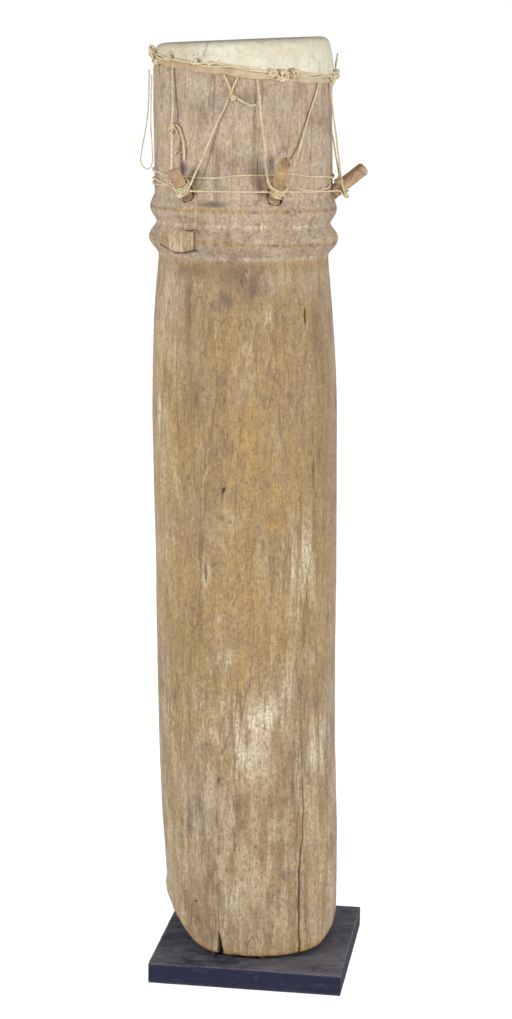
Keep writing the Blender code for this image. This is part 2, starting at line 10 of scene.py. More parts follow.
import bpy
import numpy as np
from mathutils import Matrix, Vector
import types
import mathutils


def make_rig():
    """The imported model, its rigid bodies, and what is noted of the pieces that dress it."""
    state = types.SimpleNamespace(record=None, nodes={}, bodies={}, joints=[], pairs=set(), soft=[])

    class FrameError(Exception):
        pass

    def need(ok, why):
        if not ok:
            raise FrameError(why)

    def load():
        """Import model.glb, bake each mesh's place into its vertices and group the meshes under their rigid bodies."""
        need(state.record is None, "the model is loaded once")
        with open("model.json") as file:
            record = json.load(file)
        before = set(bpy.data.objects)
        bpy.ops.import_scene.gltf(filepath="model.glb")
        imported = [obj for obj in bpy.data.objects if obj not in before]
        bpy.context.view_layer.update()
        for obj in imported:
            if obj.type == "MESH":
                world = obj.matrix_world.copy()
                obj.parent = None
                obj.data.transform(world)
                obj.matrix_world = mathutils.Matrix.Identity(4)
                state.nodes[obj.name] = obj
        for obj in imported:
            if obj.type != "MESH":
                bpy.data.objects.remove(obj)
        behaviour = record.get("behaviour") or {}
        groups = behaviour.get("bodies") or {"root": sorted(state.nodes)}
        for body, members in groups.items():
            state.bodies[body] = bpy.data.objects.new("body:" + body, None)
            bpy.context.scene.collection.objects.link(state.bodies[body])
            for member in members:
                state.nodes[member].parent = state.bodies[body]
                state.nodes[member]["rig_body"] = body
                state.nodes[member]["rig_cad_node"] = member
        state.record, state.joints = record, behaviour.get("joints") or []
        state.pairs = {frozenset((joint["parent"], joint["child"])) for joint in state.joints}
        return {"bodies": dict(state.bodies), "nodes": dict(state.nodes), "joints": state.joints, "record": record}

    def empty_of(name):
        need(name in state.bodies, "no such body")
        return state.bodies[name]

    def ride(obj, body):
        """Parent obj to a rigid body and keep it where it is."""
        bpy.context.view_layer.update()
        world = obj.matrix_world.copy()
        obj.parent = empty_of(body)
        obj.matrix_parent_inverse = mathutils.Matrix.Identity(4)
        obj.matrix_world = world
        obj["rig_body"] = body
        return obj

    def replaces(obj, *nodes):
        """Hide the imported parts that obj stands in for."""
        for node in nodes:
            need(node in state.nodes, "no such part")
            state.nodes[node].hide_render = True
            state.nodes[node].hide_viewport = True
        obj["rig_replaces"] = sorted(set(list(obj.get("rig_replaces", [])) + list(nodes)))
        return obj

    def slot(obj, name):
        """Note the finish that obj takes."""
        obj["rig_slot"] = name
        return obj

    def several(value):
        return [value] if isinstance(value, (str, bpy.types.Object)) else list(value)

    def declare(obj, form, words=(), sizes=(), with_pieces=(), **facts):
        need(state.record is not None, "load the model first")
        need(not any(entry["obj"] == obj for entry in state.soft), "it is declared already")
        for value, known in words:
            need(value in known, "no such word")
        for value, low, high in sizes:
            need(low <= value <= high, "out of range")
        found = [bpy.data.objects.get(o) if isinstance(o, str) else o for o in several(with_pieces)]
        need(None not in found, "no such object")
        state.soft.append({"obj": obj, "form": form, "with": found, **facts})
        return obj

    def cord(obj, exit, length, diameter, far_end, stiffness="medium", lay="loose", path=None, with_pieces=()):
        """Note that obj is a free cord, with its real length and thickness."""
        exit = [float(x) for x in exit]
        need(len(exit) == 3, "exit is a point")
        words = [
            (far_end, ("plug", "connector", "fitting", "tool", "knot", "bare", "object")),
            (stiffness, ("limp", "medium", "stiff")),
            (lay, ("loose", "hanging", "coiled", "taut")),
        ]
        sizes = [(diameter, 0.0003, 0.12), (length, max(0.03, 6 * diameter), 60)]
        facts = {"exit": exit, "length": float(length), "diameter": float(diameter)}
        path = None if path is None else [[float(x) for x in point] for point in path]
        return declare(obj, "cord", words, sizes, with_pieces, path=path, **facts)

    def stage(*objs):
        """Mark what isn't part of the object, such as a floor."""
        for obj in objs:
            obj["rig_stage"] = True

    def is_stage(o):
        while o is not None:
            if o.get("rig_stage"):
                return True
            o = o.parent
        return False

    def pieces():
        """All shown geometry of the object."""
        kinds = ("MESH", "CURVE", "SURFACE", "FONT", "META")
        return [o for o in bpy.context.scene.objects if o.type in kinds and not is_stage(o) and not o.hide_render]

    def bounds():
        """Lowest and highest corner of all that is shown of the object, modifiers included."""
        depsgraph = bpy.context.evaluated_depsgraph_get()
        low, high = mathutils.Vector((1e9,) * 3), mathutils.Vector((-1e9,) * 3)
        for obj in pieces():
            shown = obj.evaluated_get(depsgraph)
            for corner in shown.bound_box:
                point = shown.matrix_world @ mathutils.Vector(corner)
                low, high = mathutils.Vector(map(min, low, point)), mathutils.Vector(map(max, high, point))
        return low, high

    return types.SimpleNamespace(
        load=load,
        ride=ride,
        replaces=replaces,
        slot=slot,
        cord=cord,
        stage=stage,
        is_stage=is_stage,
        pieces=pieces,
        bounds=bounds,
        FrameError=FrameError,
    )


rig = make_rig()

LOG = logging.getLogger("log_drum")
GAP = 0.0003
UP = Vector((0.0, 0.0, 1.0))
Array = np.ndarray
Mesh = bpy.types.Object
Socket = bpy.types.NodeSocket
Material = bpy.types.Material
Triple = tuple[float, float, float]
Rows = tuple[tuple[float, ...], ...]


class Slot(Enum):
    """Material slots of the part's record."""

    LOG = "log_wood"
    PEG = "peg_wood"
    PLINTH = "plinth_wood"
    SKIN = "skin"
    CORD = "fibre_cord"
    PIN = "pin_metal"


def mode(name: str, select: str = "") -> None:
    """Go into EDIT or OBJECT mode; in EDIT mode also SELECT or DESELECT everything."""
    bpy.ops.object.mode_set(mode=name)
    if select:
        bpy.ops.mesh.select_all(action=select)


def deselect() -> None:
    """Leave edit mode and select nothing."""
    if bpy.context.object and bpy.context.object.mode != "OBJECT":
        mode("OBJECT")
    bpy.ops.object.select_all(action="DESELECT")


def take(obj: Mesh) -> None:
    """Make one object the only selected and active one."""
    deselect()
    obj.select_set(True)
    bpy.context.view_layer.objects.active = obj


def settle(obj: Mesh, name: str, angle: float = 180.0, turn: bool = True) -> Mesh:
    """Apply place and modifiers, name the piece, turn its faces outward and smooth it.

    Args:
        obj: the mesh object.
        name: its final name.
        angle: edges sharper than this many degrees stay sharp.
        turn: whether the faces still have to be turned outward.

    Returns:
        The same object.
    """
    take(obj)
    for mod in list(obj.modifiers):
        bpy.ops.object.modifier_apply(modifier=mod.name)
    bpy.ops.object.transform_apply(location=True, rotation=True, scale=True)
    obj.name = name
    obj.data.name = name
    if turn:
        mode("EDIT", "SELECT")
        bpy.ops.mesh.normals_make_consistent(inside=False)
        mode("OBJECT")
    obj.data.shade_smooth()
    if angle < 180.0:
        bpy.ops.object.shade_smooth_by_angle(angle=math.radians(angle))
    return obj


def divide(obj: Mesh, cuts: int, wanted: Callable[[Vector], bool]) -> None:
    """Subdivide the edges that are wanted by their run, and stay in edit mode."""
    mode("EDIT")
    bpy.ops.mesh.select_mode(type="EDGE")
    mode("EDIT", "DESELECT")
    mode("OBJECT")
    for edge in obj.data.edges:
        a, b = (obj.data.vertices[v].co for v in edge.vertices)
        edge.select = wanted(a - b)
    mode("EDIT")
    bpy.ops.mesh.subdivide(number_cuts=cuts)


def coords(obj: Mesh) -> Array:
    """Vertex positions as an (n, 3) array."""
    co = np.empty(len(obj.data.vertices) * 3)
    obj.data.vertices.foreach_get("co", co)
    return co.reshape(-1, 3)


def set_coords(obj: Mesh, co: Array) -> None:
    """Write vertex positions back."""
    obj.data.vertices.foreach_set("co", np.ascontiguousarray(co, dtype=np.float64).ravel())
    obj.data.update()


def paint(obj: Mesh, name: str, *masks: Array) -> None:
    """Store three masks from 0 to 1 as a colour attribute on the vertices."""
    layer = obj.data.color_attributes.new(name=name, type="FLOAT_COLOR", domain="POINT")
    full = np.ones((len(masks[0]), 4), np.float32)
    full[:, :3] = np.clip(np.stack(masks, axis=1), 0.0, 1.0)
    layer.data.foreach_set("color", full.ravel())


def clip(t: Array) -> Array:
    """Keep between 0 and 1."""
    return np.clip(t, 0, 1)


def ease(t: Array) -> Array:
    """Smooth ramp from 0 to 1."""
    t = clip(t)
    return t * t * (3.0 - 2.0 * t)


def bell(off: Array, half: float, power: int = 2) -> Array:
    """Soft bump of height 1 at no offset."""
    return np.exp(-((off / half) ** power))


def swing(bearing: Array, mid: float) -> Array:
    """Difference of bearings, between -180 and 180 degrees."""
    return (np.asarray(bearing, float) - mid + 180.0) % 360.0 - 180.0


def bearing_of(co: Array) -> Array:
    """Bearings of points in degrees, from the front towards +X."""
    return np.degrees(np.arctan2(co[:, 0], -co[:, 1]))


def facing(bearing: float) -> Vector:
    """Unit vector out of the drum at a bearing from the front towards +X."""
    t = math.radians(bearing)
    return Vector((math.sin(t), -math.cos(t), 0.0))


def wave(
    seed: int, around: tuple[int, int], length: tuple[float, float], b: Array, z: Array, count: int = 14
) -> Array:
    """A smooth random field over bearing and height, without a seam at the back.

    Args:
        seed: start of the random numbers.
        around: fewest and most waves round the drum.
        length: shortest and longest wave upwards, in metres.
        b: bearings in degrees.
        z: heights in metres.
        count: number of waves added up.

    Returns:
        The field at each point, about -1 to 1.
    """
    rng = np.random.default_rng(seed)
    b = np.radians(b)
    total = np.zeros(np.broadcast(b, z).shape)
    for _ in range(count):
        k = rng.integers(around[0], around[1] + 1)
        q = 2 * math.pi / rng.uniform(*length) * rng.choice([-1, 1])
        total = total + np.cos(k * b + q * z + rng.uniform(0, 6.283))
    return total / math.sqrt(count) / 1.4


@dataclass(frozen=True)
class DrumForm:
    """The log's own sizes, the same as the solids have."""

    axis_x: float = -0.0139
    axis_y: float = 0.0113
    lean: float = math.tan(math.radians(1.14))
    lean_bearing: float = -82.0
    kick: float = 0.0088
    kick_top: float = 0.31
    bow: Triple = (0.0010, 0.87, 0.10)
    foot_z: float = 0.0342
    rim_z: float = 1.1964
    neck_z: float = 1.120
    shoulder_z: float = 1.165
    side_slope: float = 0.050
    back_slope: float = 0.020
    wall: float = 0.018
    foot_wall: float = 0.013
    rim_wall: float = 0.009
    foot_r: float = 0.1105
    low_r: float = 0.1157
    belly_r: float = 0.1181
    waist_r: float = 0.1074
    groove_r: float = 0.1098
    neck_r: float = 0.1118
    rim_r: float = 0.1060
    rim_round: float = 0.0060
    low_z: float = 0.25
    belly_z: float = 0.70
    waist_z: float = 0.926
    ring_low: Triple = (0.9525, 0.0195, 0.0108)
    ring_up: Triple = (0.9905, 0.0175, 0.0078)
    wears: Rows = ((0.060, -85.0, 63.0), (0.024, 100.0, 50.0))
    wear_reach: float = 0.150

    def axis(self, z: Array) -> Array:
        """Centre of the barrel at heights z, as (n, 2)."""
        z = np.asarray(z, float)
        low = clip((self.kick_top - np.maximum(z, 0.0)) / self.kick_top)
        lean = self.lean * z - self.kick * low**1.3
        lean = lean + self.bow[0] * bell(z - self.bow[1], self.bow[2])
        way = facing(self.lean_bearing)
        return np.stack([self.axis_x + way.x * lean, self.axis_y + way.y * lean], axis=-1)

    def axis_point(self, z: float) -> Vector:
        """Centre of the barrel at one height."""
        x, y = self.axis(np.array(z))
        return Vector((float(x), float(y), z))

    def place(self, b: Array, r: Array, z: Array) -> Array:
        """Points at bearings, radii and heights, as (n, 3)."""
        centre, rad = self.axis(z), np.radians(b)
        return np.stack([centre[:, 0] + r * np.sin(rad), centre[:, 1] - r * np.cos(rad), z], axis=1)

    def barrel(self, z: Array) -> Array:
        """Radius of the barrel without its rings."""
        z = np.asarray(z, float)
        t = clip((z - self.foot_z) / (self.low_z - self.foot_z))
        out = self.foot_r + (self.low_r - self.foot_r) * np.sin(math.pi / 2 * t)
        up_z, up_half = self.ring_up[:2]
        stages = (
            (self.low_z, self.belly_z, self.low_r, self.belly_r, lambda t: ease(t) ** 1.4),
            (self.belly_z, self.waist_z, self.belly_r, self.waist_r, lambda t: clip(t) ** 2.1),
            (self.waist_z, up_z, self.waist_r, self.groove_r, lambda t: ease(t * 1.4)),
            (up_z, up_z + up_half, self.groove_r, self.neck_r, ease),
            (self.shoulder_z, self.rim_z, self.neck_r, self.rim_r, clip),
        )
        for low, high, first, last, shape in stages:
            t = shape((z - low) / (high - low))
            out = np.where(z > low, first + (last - first) * t, out)
        return out

    def ring(self, z: Array, which: Triple) -> Array:
        """How far one carved ring stands out."""
        mid, half, proud = which
        t = clip(np.abs(np.asarray(z, float) - mid) / half)
        return proud * np.maximum(np.cos(math.pi / 2 * t), 0.0) ** 1.4

    def outside(self, z: Array) -> Array:
        """Outer radius at a level, rings included."""
        return self.barrel(z) + np.maximum(self.ring(z, self.ring_low), self.ring(z, self.ring_up))

    def inside(self, z: Array) -> Array:
        """Radius of the hollow at a level."""
        z = np.asarray(z, float)
        low = ease((z - self.foot_z) / (0.12 - self.foot_z))
        top = ease((z - self.neck_z) / (self.rim_z - self.neck_z))
        wall = self.foot_wall + (self.wall - self.foot_wall) * low
        wall = wall + (self.rim_wall - self.wall) * top
        return np.where((z > 0.846) & (z < 1.04), self.waist_r - self.wall, self.barrel(z) - wall)

    def wear(self, bearing: Array) -> Array:
        """How high the worn foot edge climbs at a bearing."""
        rise = np.zeros(np.shape(bearing))
        for height, mid, half in self.wears:
            rise = rise + height * np.cos(math.pi / 2 * clip(np.abs(swing(bearing, mid)) / half)) ** 2
        return rise

    def rim_tilt(self, bearing: Array, radius: float = 0.1060) -> Array:
        """Height of the slanted rim plane over its centre."""
        b = np.radians(bearing)
        return radius * (self.side_slope * np.sin(b) - self.back_slope * np.cos(b))

    def level(self, z: Array, bearing: Array) -> Array:
        """True height of a level, which follows the worn foot and the slanted rim."""
        z = np.asarray(z, float)
        reach = self.foot_z + self.wear_reach
        low = z + self.wear(bearing) * np.clip(reach - z, 0, None) / self.wear_reach
        high = z + self.rim_tilt(bearing) * (z - self.neck_z) / (self.rim_z - self.neck_z)
        return np.where(z < reach, low, np.where(z > self.neck_z, high, z))

    def level_of(self, z: Array, bearing: Array) -> Array:
        """The level whose true height near the rim is z."""
        z = np.asarray(z, float)
        slope = self.rim_tilt(bearing) / (self.rim_z - self.neck_z)
        return np.where(z < self.neck_z, z, (z + slope * self.neck_z) / (1.0 + slope))

    def on_barrel(self, bearing: float, z: float, lift: float = 0.0) -> Vector:
        """Point at a lift over the barrel's outside, at a true height."""
        r = float(self.outside(self.level_of(z, bearing))) + lift
        return self.axis_point(z) + facing(bearing) * r


@dataclass(frozen=True)
class PegSizes:
    """Where the pegs stand: bearing, rise, length outside, radius and how far out their laces end."""

    z: float = 1.0108
    socket: float = 0.012
    rows: Rows = (
        (-28.9, 44, 0.047, 0.0078, 0.0225), (28.5, 51, 0.06, 0.0083, 0.0225),
        (90.5, 39, 0.0535, 0.0088, 0.0185), (151, 43, 0.047, 0.0078, 0.0215), (210, 45, 0.05, 0.008, 0.0215),
    )

    def line(self, form: DrumForm, k: int) -> tuple[Vector, Vector, Vector, Vector]:
        """Mouth of the socket and the directions of one peg.

        Args:
            form: the log's sizes.
            k: number of the peg, from 0.

        Returns:
            The mouth, the unit direction along the peg, its side and its upper side, all in metres.
        """
        bearing, lift = self.rows[k][:2]
        rise = math.radians(lift)
        way = facing(bearing) * math.cos(rise) + UP * math.sin(rise)
        side = way.cross(UP).normalized()
        return form.on_barrel(bearing, self.z), way, side, side.cross(way)


class Nodes:
    """Short hand for building one procedural material."""

    base: Socket | Triple

    def __init__(self, name: str) -> None:
        """Start a material with a name."""
        self.mat = bpy.data.materials.new(name)
        self.mat.use_nodes = True
        self.tree = self.mat.node_tree
        self.shader = self.tree.nodes["Principled BSDF"]

    def fill(self, node: bpy.types.Node, inputs: dict) -> None:
        """Set a node's inputs by plain values, or link sockets to them."""
        for key, value in inputs.items():
            if isinstance(value, bpy.types.NodeSocket):
                self.tree.links.new(value, node.inputs[key])
            else:
                node.inputs[key].default_value = value

    def add(self, kind: str, inputs: dict, out: str | int, **values: object) -> Socket:
        """One output of a new node with some inputs and properties set."""
        node = self.tree.nodes.new("ShaderNode" + kind)
        for key, value in values.items():
            setattr(node, key, value)
        self.fill(node, inputs)
        return node.outputs[out]

    def noise(self, scale: float, stretch: Triple, detail: float = 4.0, rough: float = 0.6) -> Socket:
        """Noise from 0 to 1 over stretched object coordinates."""
        place = self.add("Mapping", {"Vector": self.add("TexCoord", {}, "Object"), "Scale": stretch}, "Vector")
        inputs = {"Scale": scale, "Detail": detail, "Roughness": rough, "Vector": place}
        return self.add("TexNoise", inputs, "Fac")

    def shade(self, value: Socket, at: Triple, low: Triple, high: Triple, mid: Triple = (1.0, 1.0, 1.0)) -> Socket:
        """Ramp from a darker to a lighter tint through nearly plain white."""
        out = self.add("ValToRGB", {"Fac": value}, "Color")
        bar = out.node.color_ramp
        bar.elements.new(0.5)
        for element, spot, tint in zip(bar.elements, at, (low, mid, high)):
            element.position = spot
            element.color = (*tint, 1.0)
        return out

    def span(self, value: Socket, low: float, high: float, to: float = 1.0) -> Socket:
        """Map low..high to 0..to, clamped."""
        return self.add("MapRange", {"Value": value, "From Min": low, "From Max": high, "To Max": to}, "Result")

    def math(self, how: str, a: Socket, b: Socket | float) -> Socket:
        """One arithmetic step."""
        return self.add("Math", {0: a, 1: b}, 0, operation=how)

    def times(self, a: Socket, b: Socket | float) -> Socket:
        """Product of two values."""
        return self.math("MULTIPLY", a, b)

    def plus(self, a: Socket, b: Socket | float) -> Socket:
        """Sum of two values."""
        return self.math("ADD", a, b)

    def line(self, value: Socket, at: float, wide: float, thin: float) -> Socket:
        """Thin lines where a value crosses a level."""
        return self.span(self.math("ABSOLUTE", self.math("SUBTRACT", value, at), 0.0), wide, thin)

    def mix(self, fac: Socket, a: Socket | Triple, b: Socket | Triple, blend: str = "MIX") -> Socket:
        """Blend two colours."""
        a, b = ((*value, 1.0) if isinstance(value, tuple) else value for value in (a, b))
        return self.add("Mix", {"Factor": fac, 6: a, 7: b}, 2, data_type="RGBA", blend_type=blend)

    def over(self, fac: Socket, colour: Socket | Triple, blend: str = "MIX") -> None:
        """Lay a colour over what is there."""
        self.base = self.mix(fac, self.base, colour, blend)

    def masks(self, name: str) -> list[Socket]:
        """The three masks painted on the vertices."""
        split = self.add("SeparateColor", {"Color": self.add("Attribute", {}, "Color", attribute_name=name)}, 0)
        return list(split.node.outputs)

    def finish(self, rough: Socket, height: Socket, deep: float, **plain: object) -> Material:
        """Connect colour, roughness and bump.

        Args:
            rough: the roughness.
            height: the bump's height, 0 to 1.
            deep: the bump's depth in metres.
            plain: unlinked values of the surface, with _ for a space in the name.

        Returns:
            The material.
        """
        normal = self.add("Bump", {"Strength": 1.0, "Distance": deep, "Height": height}, "Normal")
        self.fill(self.shader, {"Base Color": self.base, "Roughness": rough, "Normal": normal})
        self.fill(self.shader, {key.replace("_", " "): value for key, value in plain.items()})
        return self.mat


@dataclass(frozen=True)
class LogWood:
    """Dry, hand-worn tan wood with grey, bleached, golden and dark places, painted shadows by the pegs and the lug,
    and painted shade in its cuts.
    """

    tan: Triple = (0.355, 0.250, 0.143)
    gold: Triple = (0.385, 0.268, 0.122)
    grey: Triple = (0.505, 0.405, 0.325)
    pale: Triple = (0.640, 0.560, 0.430)
    orange: Triple = (0.440, 0.270, 0.098)
    dark: Triple = (0.165, 0.118, 0.092)
    red: Triple = (0.240, 0.140, 0.118)
    # Near-black for painted shade in the cuts and the lug's painted edge shadow.
    deep: Triple = (0.018, 0.012, 0.010)

    def make(self) -> Material:
        """Build the material."""
        n = Nodes("carved_log")
        bleach, worn, stain = n.masks("tone")
        grey, crack_shade, red = n.masks("tone2")
        cloud = n.noise(9.0, (1, 1, 0.6), 5.0)
        blotch = n.noise(24.0, (1, 1, 0.70), 7.0, 0.74)
        mottle = n.noise(330.0, (1, 1, 0.55), 5.0, 0.72)
        fibre = n.noise(640.0, (1, 1, 0.12), 4.0, 0.65)
        streak = n.noise(95.0, (1, 1, 0.12), 5.0, 0.66)
        cross = n.noise(260.0, (0.5, 0.5, 2.2), 4.0, 0.66)
        n.base = n.mix(n.span(cloud, 0.36, 0.64), self.tan, self.gold)
        n.over(n.span(n.times(grey, n.span(blotch, 0.22, 0.50)), 0.0, 0.9, 0.92), self.grey)
        n.over(n.span(blotch, 0.52, 0.70, 0.62), self.dark)
        n.over(n.span(blotch, 0.47, 0.30, 0.42), self.pale)
        # The stain mask also holds painted shadows cast by the pegs.
        n.over(n.times(stain, n.span(mottle, 0.20, 0.55)), self.dark)
        n.over(n.times(red, n.span(mottle, 0.2, 0.6)), self.red)
        patchy = n.times(n.span(streak, 0.45, 0.57), n.span(mottle, 0.30, 0.52))
        n.over(n.times(bleach, n.plus(n.times(patchy, 1.25), 0.12)), self.pale)
        n.over(n.times(worn, n.span(mottle, 0.25, 0.58)), self.orange)
        full = n.span(cloud, -1.0, 0.0)
        for value, at, low, high, mid in (
            (fibre, (0.30, 0.46, 0.62), (0.74, 0.72, 0.70), (1.16, 1.16, 1.13), (0.99, 0.99, 0.98)),
            (mottle, (0.30, 0.46, 0.66), (0.62, 0.60, 0.58), (1.26, 1.25, 1.22), (0.99, 0.99, 0.98)),
            (streak, (0.30, 0.50, 0.68), (0.86, 0.85, 0.83), (1.10, 1.10, 1.09), (1.0, 1.0, 1.0)),
            (cross, (0.30, 0.50, 0.68), (0.84, 0.84, 0.84), (1.12, 1.12, 1.12), (1.0, 1.0, 1.0)),
        ):
            n.over(full, n.shade(value, at, low, high, mid), "MULTIPLY")
        scar = n.line(n.noise(30.0, (1, 1, 0.09), 2.0, 0.5), 0.5, 0.0075, 0.0015)
        scar = n.times(scar, n.span(mottle, 0.40, 0.52))
        n.over(n.span(scar, 0.0, 1.0, 0.42), self.dark)
        nick = n.line(n.noise(44.0, (0.9, 0.9, 0.14), 2.0, 0.5), 0.56, 0.0060, 0.0012)
        n.over(n.span(n.times(nick, n.span(streak, 0.44, 0.56)), 0.0, 1.0, 0.42), self.pale)
        zone = n.span(n.noise(15.0, (1, 1, 0.5), 3.0, 0.5), 0.54, 0.66)
        checks = n.times(zone, n.span(n.noise(330.0, (1, 1, 0.045), 3.0), 0.36, 0.32))
        checks = n.math("MAXIMUM", checks, n.times(scar, 0.6))
        n.over(n.span(checks, 0.0, 1.0, 0.55), self.dark)
        # Painted shade: near-black in the split, slot, notch, holes and checks, with dark scratch lines, and painted
        # shadow on the lug's right and lower edges.
        n.over(crack_shade, self.deep)
        height = n.plus(n.plus(n.times(fibre, 0.40), n.times(mottle, 0.95)), n.times(blotch, 0.9))
        height = n.math("SUBTRACT", height, n.times(checks, 0.5))
        return n.finish(n.plus(n.times(mottle, 0.3), 0.52), height, 0.0017, Specular_IOR_Level=0.25)


@dataclass(frozen=True)
class Rawhide:
    """Dried skin: cream at the top, tan and pinkish at the hem, with painted shade in its crease, under the binding,
    along the hem's edge and in the stitch holes.
    """

    cream: Triple = (0.690, 0.640, 0.480)
    pale: Triple = (0.760, 0.735, 0.600)
    tan: Triple = (0.480, 0.390, 0.265)
    pink: Triple = (0.500, 0.370, 0.225)
    # Painted shade for the crease, the binding line, the hem's edge and the stitch holes.
    painted_shade: Triple = (0.30, 0.20, 0.12)

    def make(self) -> Material:
        """Build the material."""
        n = Nodes("rawhide")
        hem, old, crease_and_shade = n.masks("tone")
        cloud = n.noise(14.0, (1, 1, 1.4), 5.0)
        fine = n.noise(160.0, (1, 1, 1), 5.0)
        mottle = n.noise(46.0, (1, 1, 1.6))
        n.base = n.mix(n.span(cloud, 0.40, 0.62), self.cream, self.pale)
        n.over(n.span(mottle, 0.56, 0.80, 0.45), self.tan)
        n.over(n.times(old, n.span(mottle, 0.15, 0.6)), self.tan)
        n.over(n.times(hem, n.span(mottle, 0.00, 0.4)), self.pink)
        grain = n.shade(fine, (0.30, 0.48, 0.66), (0.84, 0.83, 0.80), (1.07, 1.07, 1.06))
        n.over(n.span(cloud, -1.0, 0.0), grain, "MULTIPLY")
        vein = n.line(n.noise(18.0, (1, 1, 1.5), 2.0, 0.5), 0.5, 0.005, 0.001)
        n.over(n.span(n.times(vein, n.span(fine, 0.40, 0.52)), 0.0, 1.0, 0.35), self.tan)
        # Painted shade in the crease, under the binding, along the hem's edge and in the stitch holes.
        n.over(n.span(crease_and_shade, 0.0, 1.0, 0.85), self.painted_shade)
        height = n.plus(n.times(fine, 0.35), n.times(mottle, 0.65))
        n.fill(n.shader, {"Subsurface Weight": 0.08, "Subsurface Radius": (0.004, 0.0025, 0.0015)})
        return n.finish(n.plus(n.span(fine, 0.1, 0.9, 0.25), 0.42), height, 0.0006, Specular_IOR_Level=0.35)


@dataclass(frozen=True)
class Fibre:
    """Twisted plant fibre, pale straw with darker fibres."""

    straw: Triple = (0.780, 0.650, 0.400)
    pale: Triple = (0.900, 0.820, 0.590)
    dark: Triple = (0.330, 0.235, 0.130)

    def make(self) -> Material:
        """Build the material."""
        n = Nodes("plant_fibre")
        strand = n.noise(900.0, (1, 1, 0.35))
        n.base = n.mix(n.span(n.noise(60.0, (1, 1, 1)), 0.36, 0.62), self.straw, self.pale)
        n.over(n.span(strand, 0.60, 0.42, 0.5), self.dark)
        return n.finish(n.plus(n.span(strand, 0.0, 1.0, 0.2), 0.58), strand, 0.0005, Specular_IOR_Level=0.25)


@dataclass(frozen=True)
class PegWood:
    """Whittled brown wood with pinkish cut ends, painted shade where it leaves its socket and in a dent."""

    brown: Triple = (0.400, 0.262, 0.135)
    light: Triple = (0.600, 0.425, 0.230)
    pink: Triple = (0.600, 0.365, 0.275)
    dark: Triple = (0.120, 0.070, 0.045)

    def make(self) -> Material:
        """Build the material."""
        n = Nodes("whittled_peg")
        tip, socket_and_dent_shade, bark = n.masks("tone")
        cloud = n.noise(70.0, (1, 1, 0.8))
        fine = n.noise(420.0, (1, 1, 0.35))
        n.base = n.mix(n.span(cloud, 0.35, 0.65), self.brown, self.light)
        n.over(n.times(bark, n.span(fine, 0.2, 0.6)), self.pink)
        n.over(n.span(tip, 0.0, 1.0, 0.75), self.light)
        n.over(n.span(fine, 0.56, 0.38, 0.45), self.dark)
        # Painted shade where the peg leaves its socket and in the first peg's dent.
        n.over(n.span(socket_and_dent_shade, 0.0, 1.0, 0.85), self.dark)
        return n.finish(n.plus(n.span(fine, 0.0, 1.0, 0.25), 0.45), n.plus(fine, cloud), 0.0006)


@dataclass(frozen=True)
class StainedWood:
    """Near-black stained board with a dusty top."""

    stain: Triple = (0.009, 0.011, 0.044)
    dust: Triple = (0.185, 0.180, 0.195)
    brown: Triple = (0.040, 0.040, 0.058)

    def make(self) -> Material:
        """Build the material."""
        n = Nodes("stained_board")
        top, edge, _chip = n.masks("tone")
        grain = n.noise(70.0, (0.06, 1, 1), 5.0)
        fine = n.noise(420.0, (0.05, 1, 1))
        cloud = n.noise(16.0, (0.6, 1, 1))
        speck = n.noise(130.0, (0.5, 1, 1), 5.0, 0.7)
        n.base = n.mix(n.span(grain, 0.42, 0.66, 0.5), self.stain, self.brown)
        haze = n.times(top, n.span(n.times(n.plus(cloud, speck), 0.5), 0.38, 0.62))
        n.over(n.times(haze, 0.85), self.dust)
        n.over(n.span(speck, 0.60, 0.72, 0.40), self.dust)
        n.over(n.times(edge, n.span(grain, 0.35, 0.6)), self.dust)
        n.over(n.span(fine, 0.62, 0.74, 0.35), self.dust)
        height = n.plus(n.times(grain, 0.7), n.times(fine, 0.3))
        return n.finish(n.plus(n.times(cloud, 0.3), 0.34), height, 0.0007)


@dataclass(frozen=True)
class PinMetal:
    """Dark steel with a breath of rust."""

    steel: Triple = (0.150, 0.135, 0.125)
    rust: Triple = (0.200, 0.085, 0.040)

    def make(self) -> Material:
        """Build the material."""
        n = Nodes("dark_pin")
        cloud = n.noise(320.0, (1, 1, 1))
        n.base = n.mix(n.span(cloud, 0.45, 0.65), self.steel, self.rust)
        return n.finish(n.plus(n.times(cloud, 0.4), 0.25), cloud, 0.0003, Metallic=0.8)


def turned(rows: list[tuple[float, float]], steps: int) -> Mesh:
    """Spin a looped section of points round the Z axis.

    Args:
        rows: (radius, height) of each point of the section.
        steps: columns round the axis.

    Returns:
        A closed turned mesh, centred on the Z axis.
    """
    deselect()
    bpy.ops.mesh.primitive_circle_add(vertices=len(rows), radius=0.01, fill_type="NOTHING")
    obj = bpy.context.object
    set_coords(obj, np.array([(r, 0.0, z) for r, z in rows]))
    mode("EDIT", "SELECT")
    bpy.ops.mesh.spin(steps=steps, angle=2 * math.pi, center=(0, 0, 0), axis=(0, 0, 1), use_auto_merge=False)
    mode("EDIT", "SELECT")
    bpy.ops.mesh.remove_doubles(threshold=0.00001)
    bpy.ops.mesh.normals_make_consistent(inside=False)
    mode("OBJECT")
    return obj


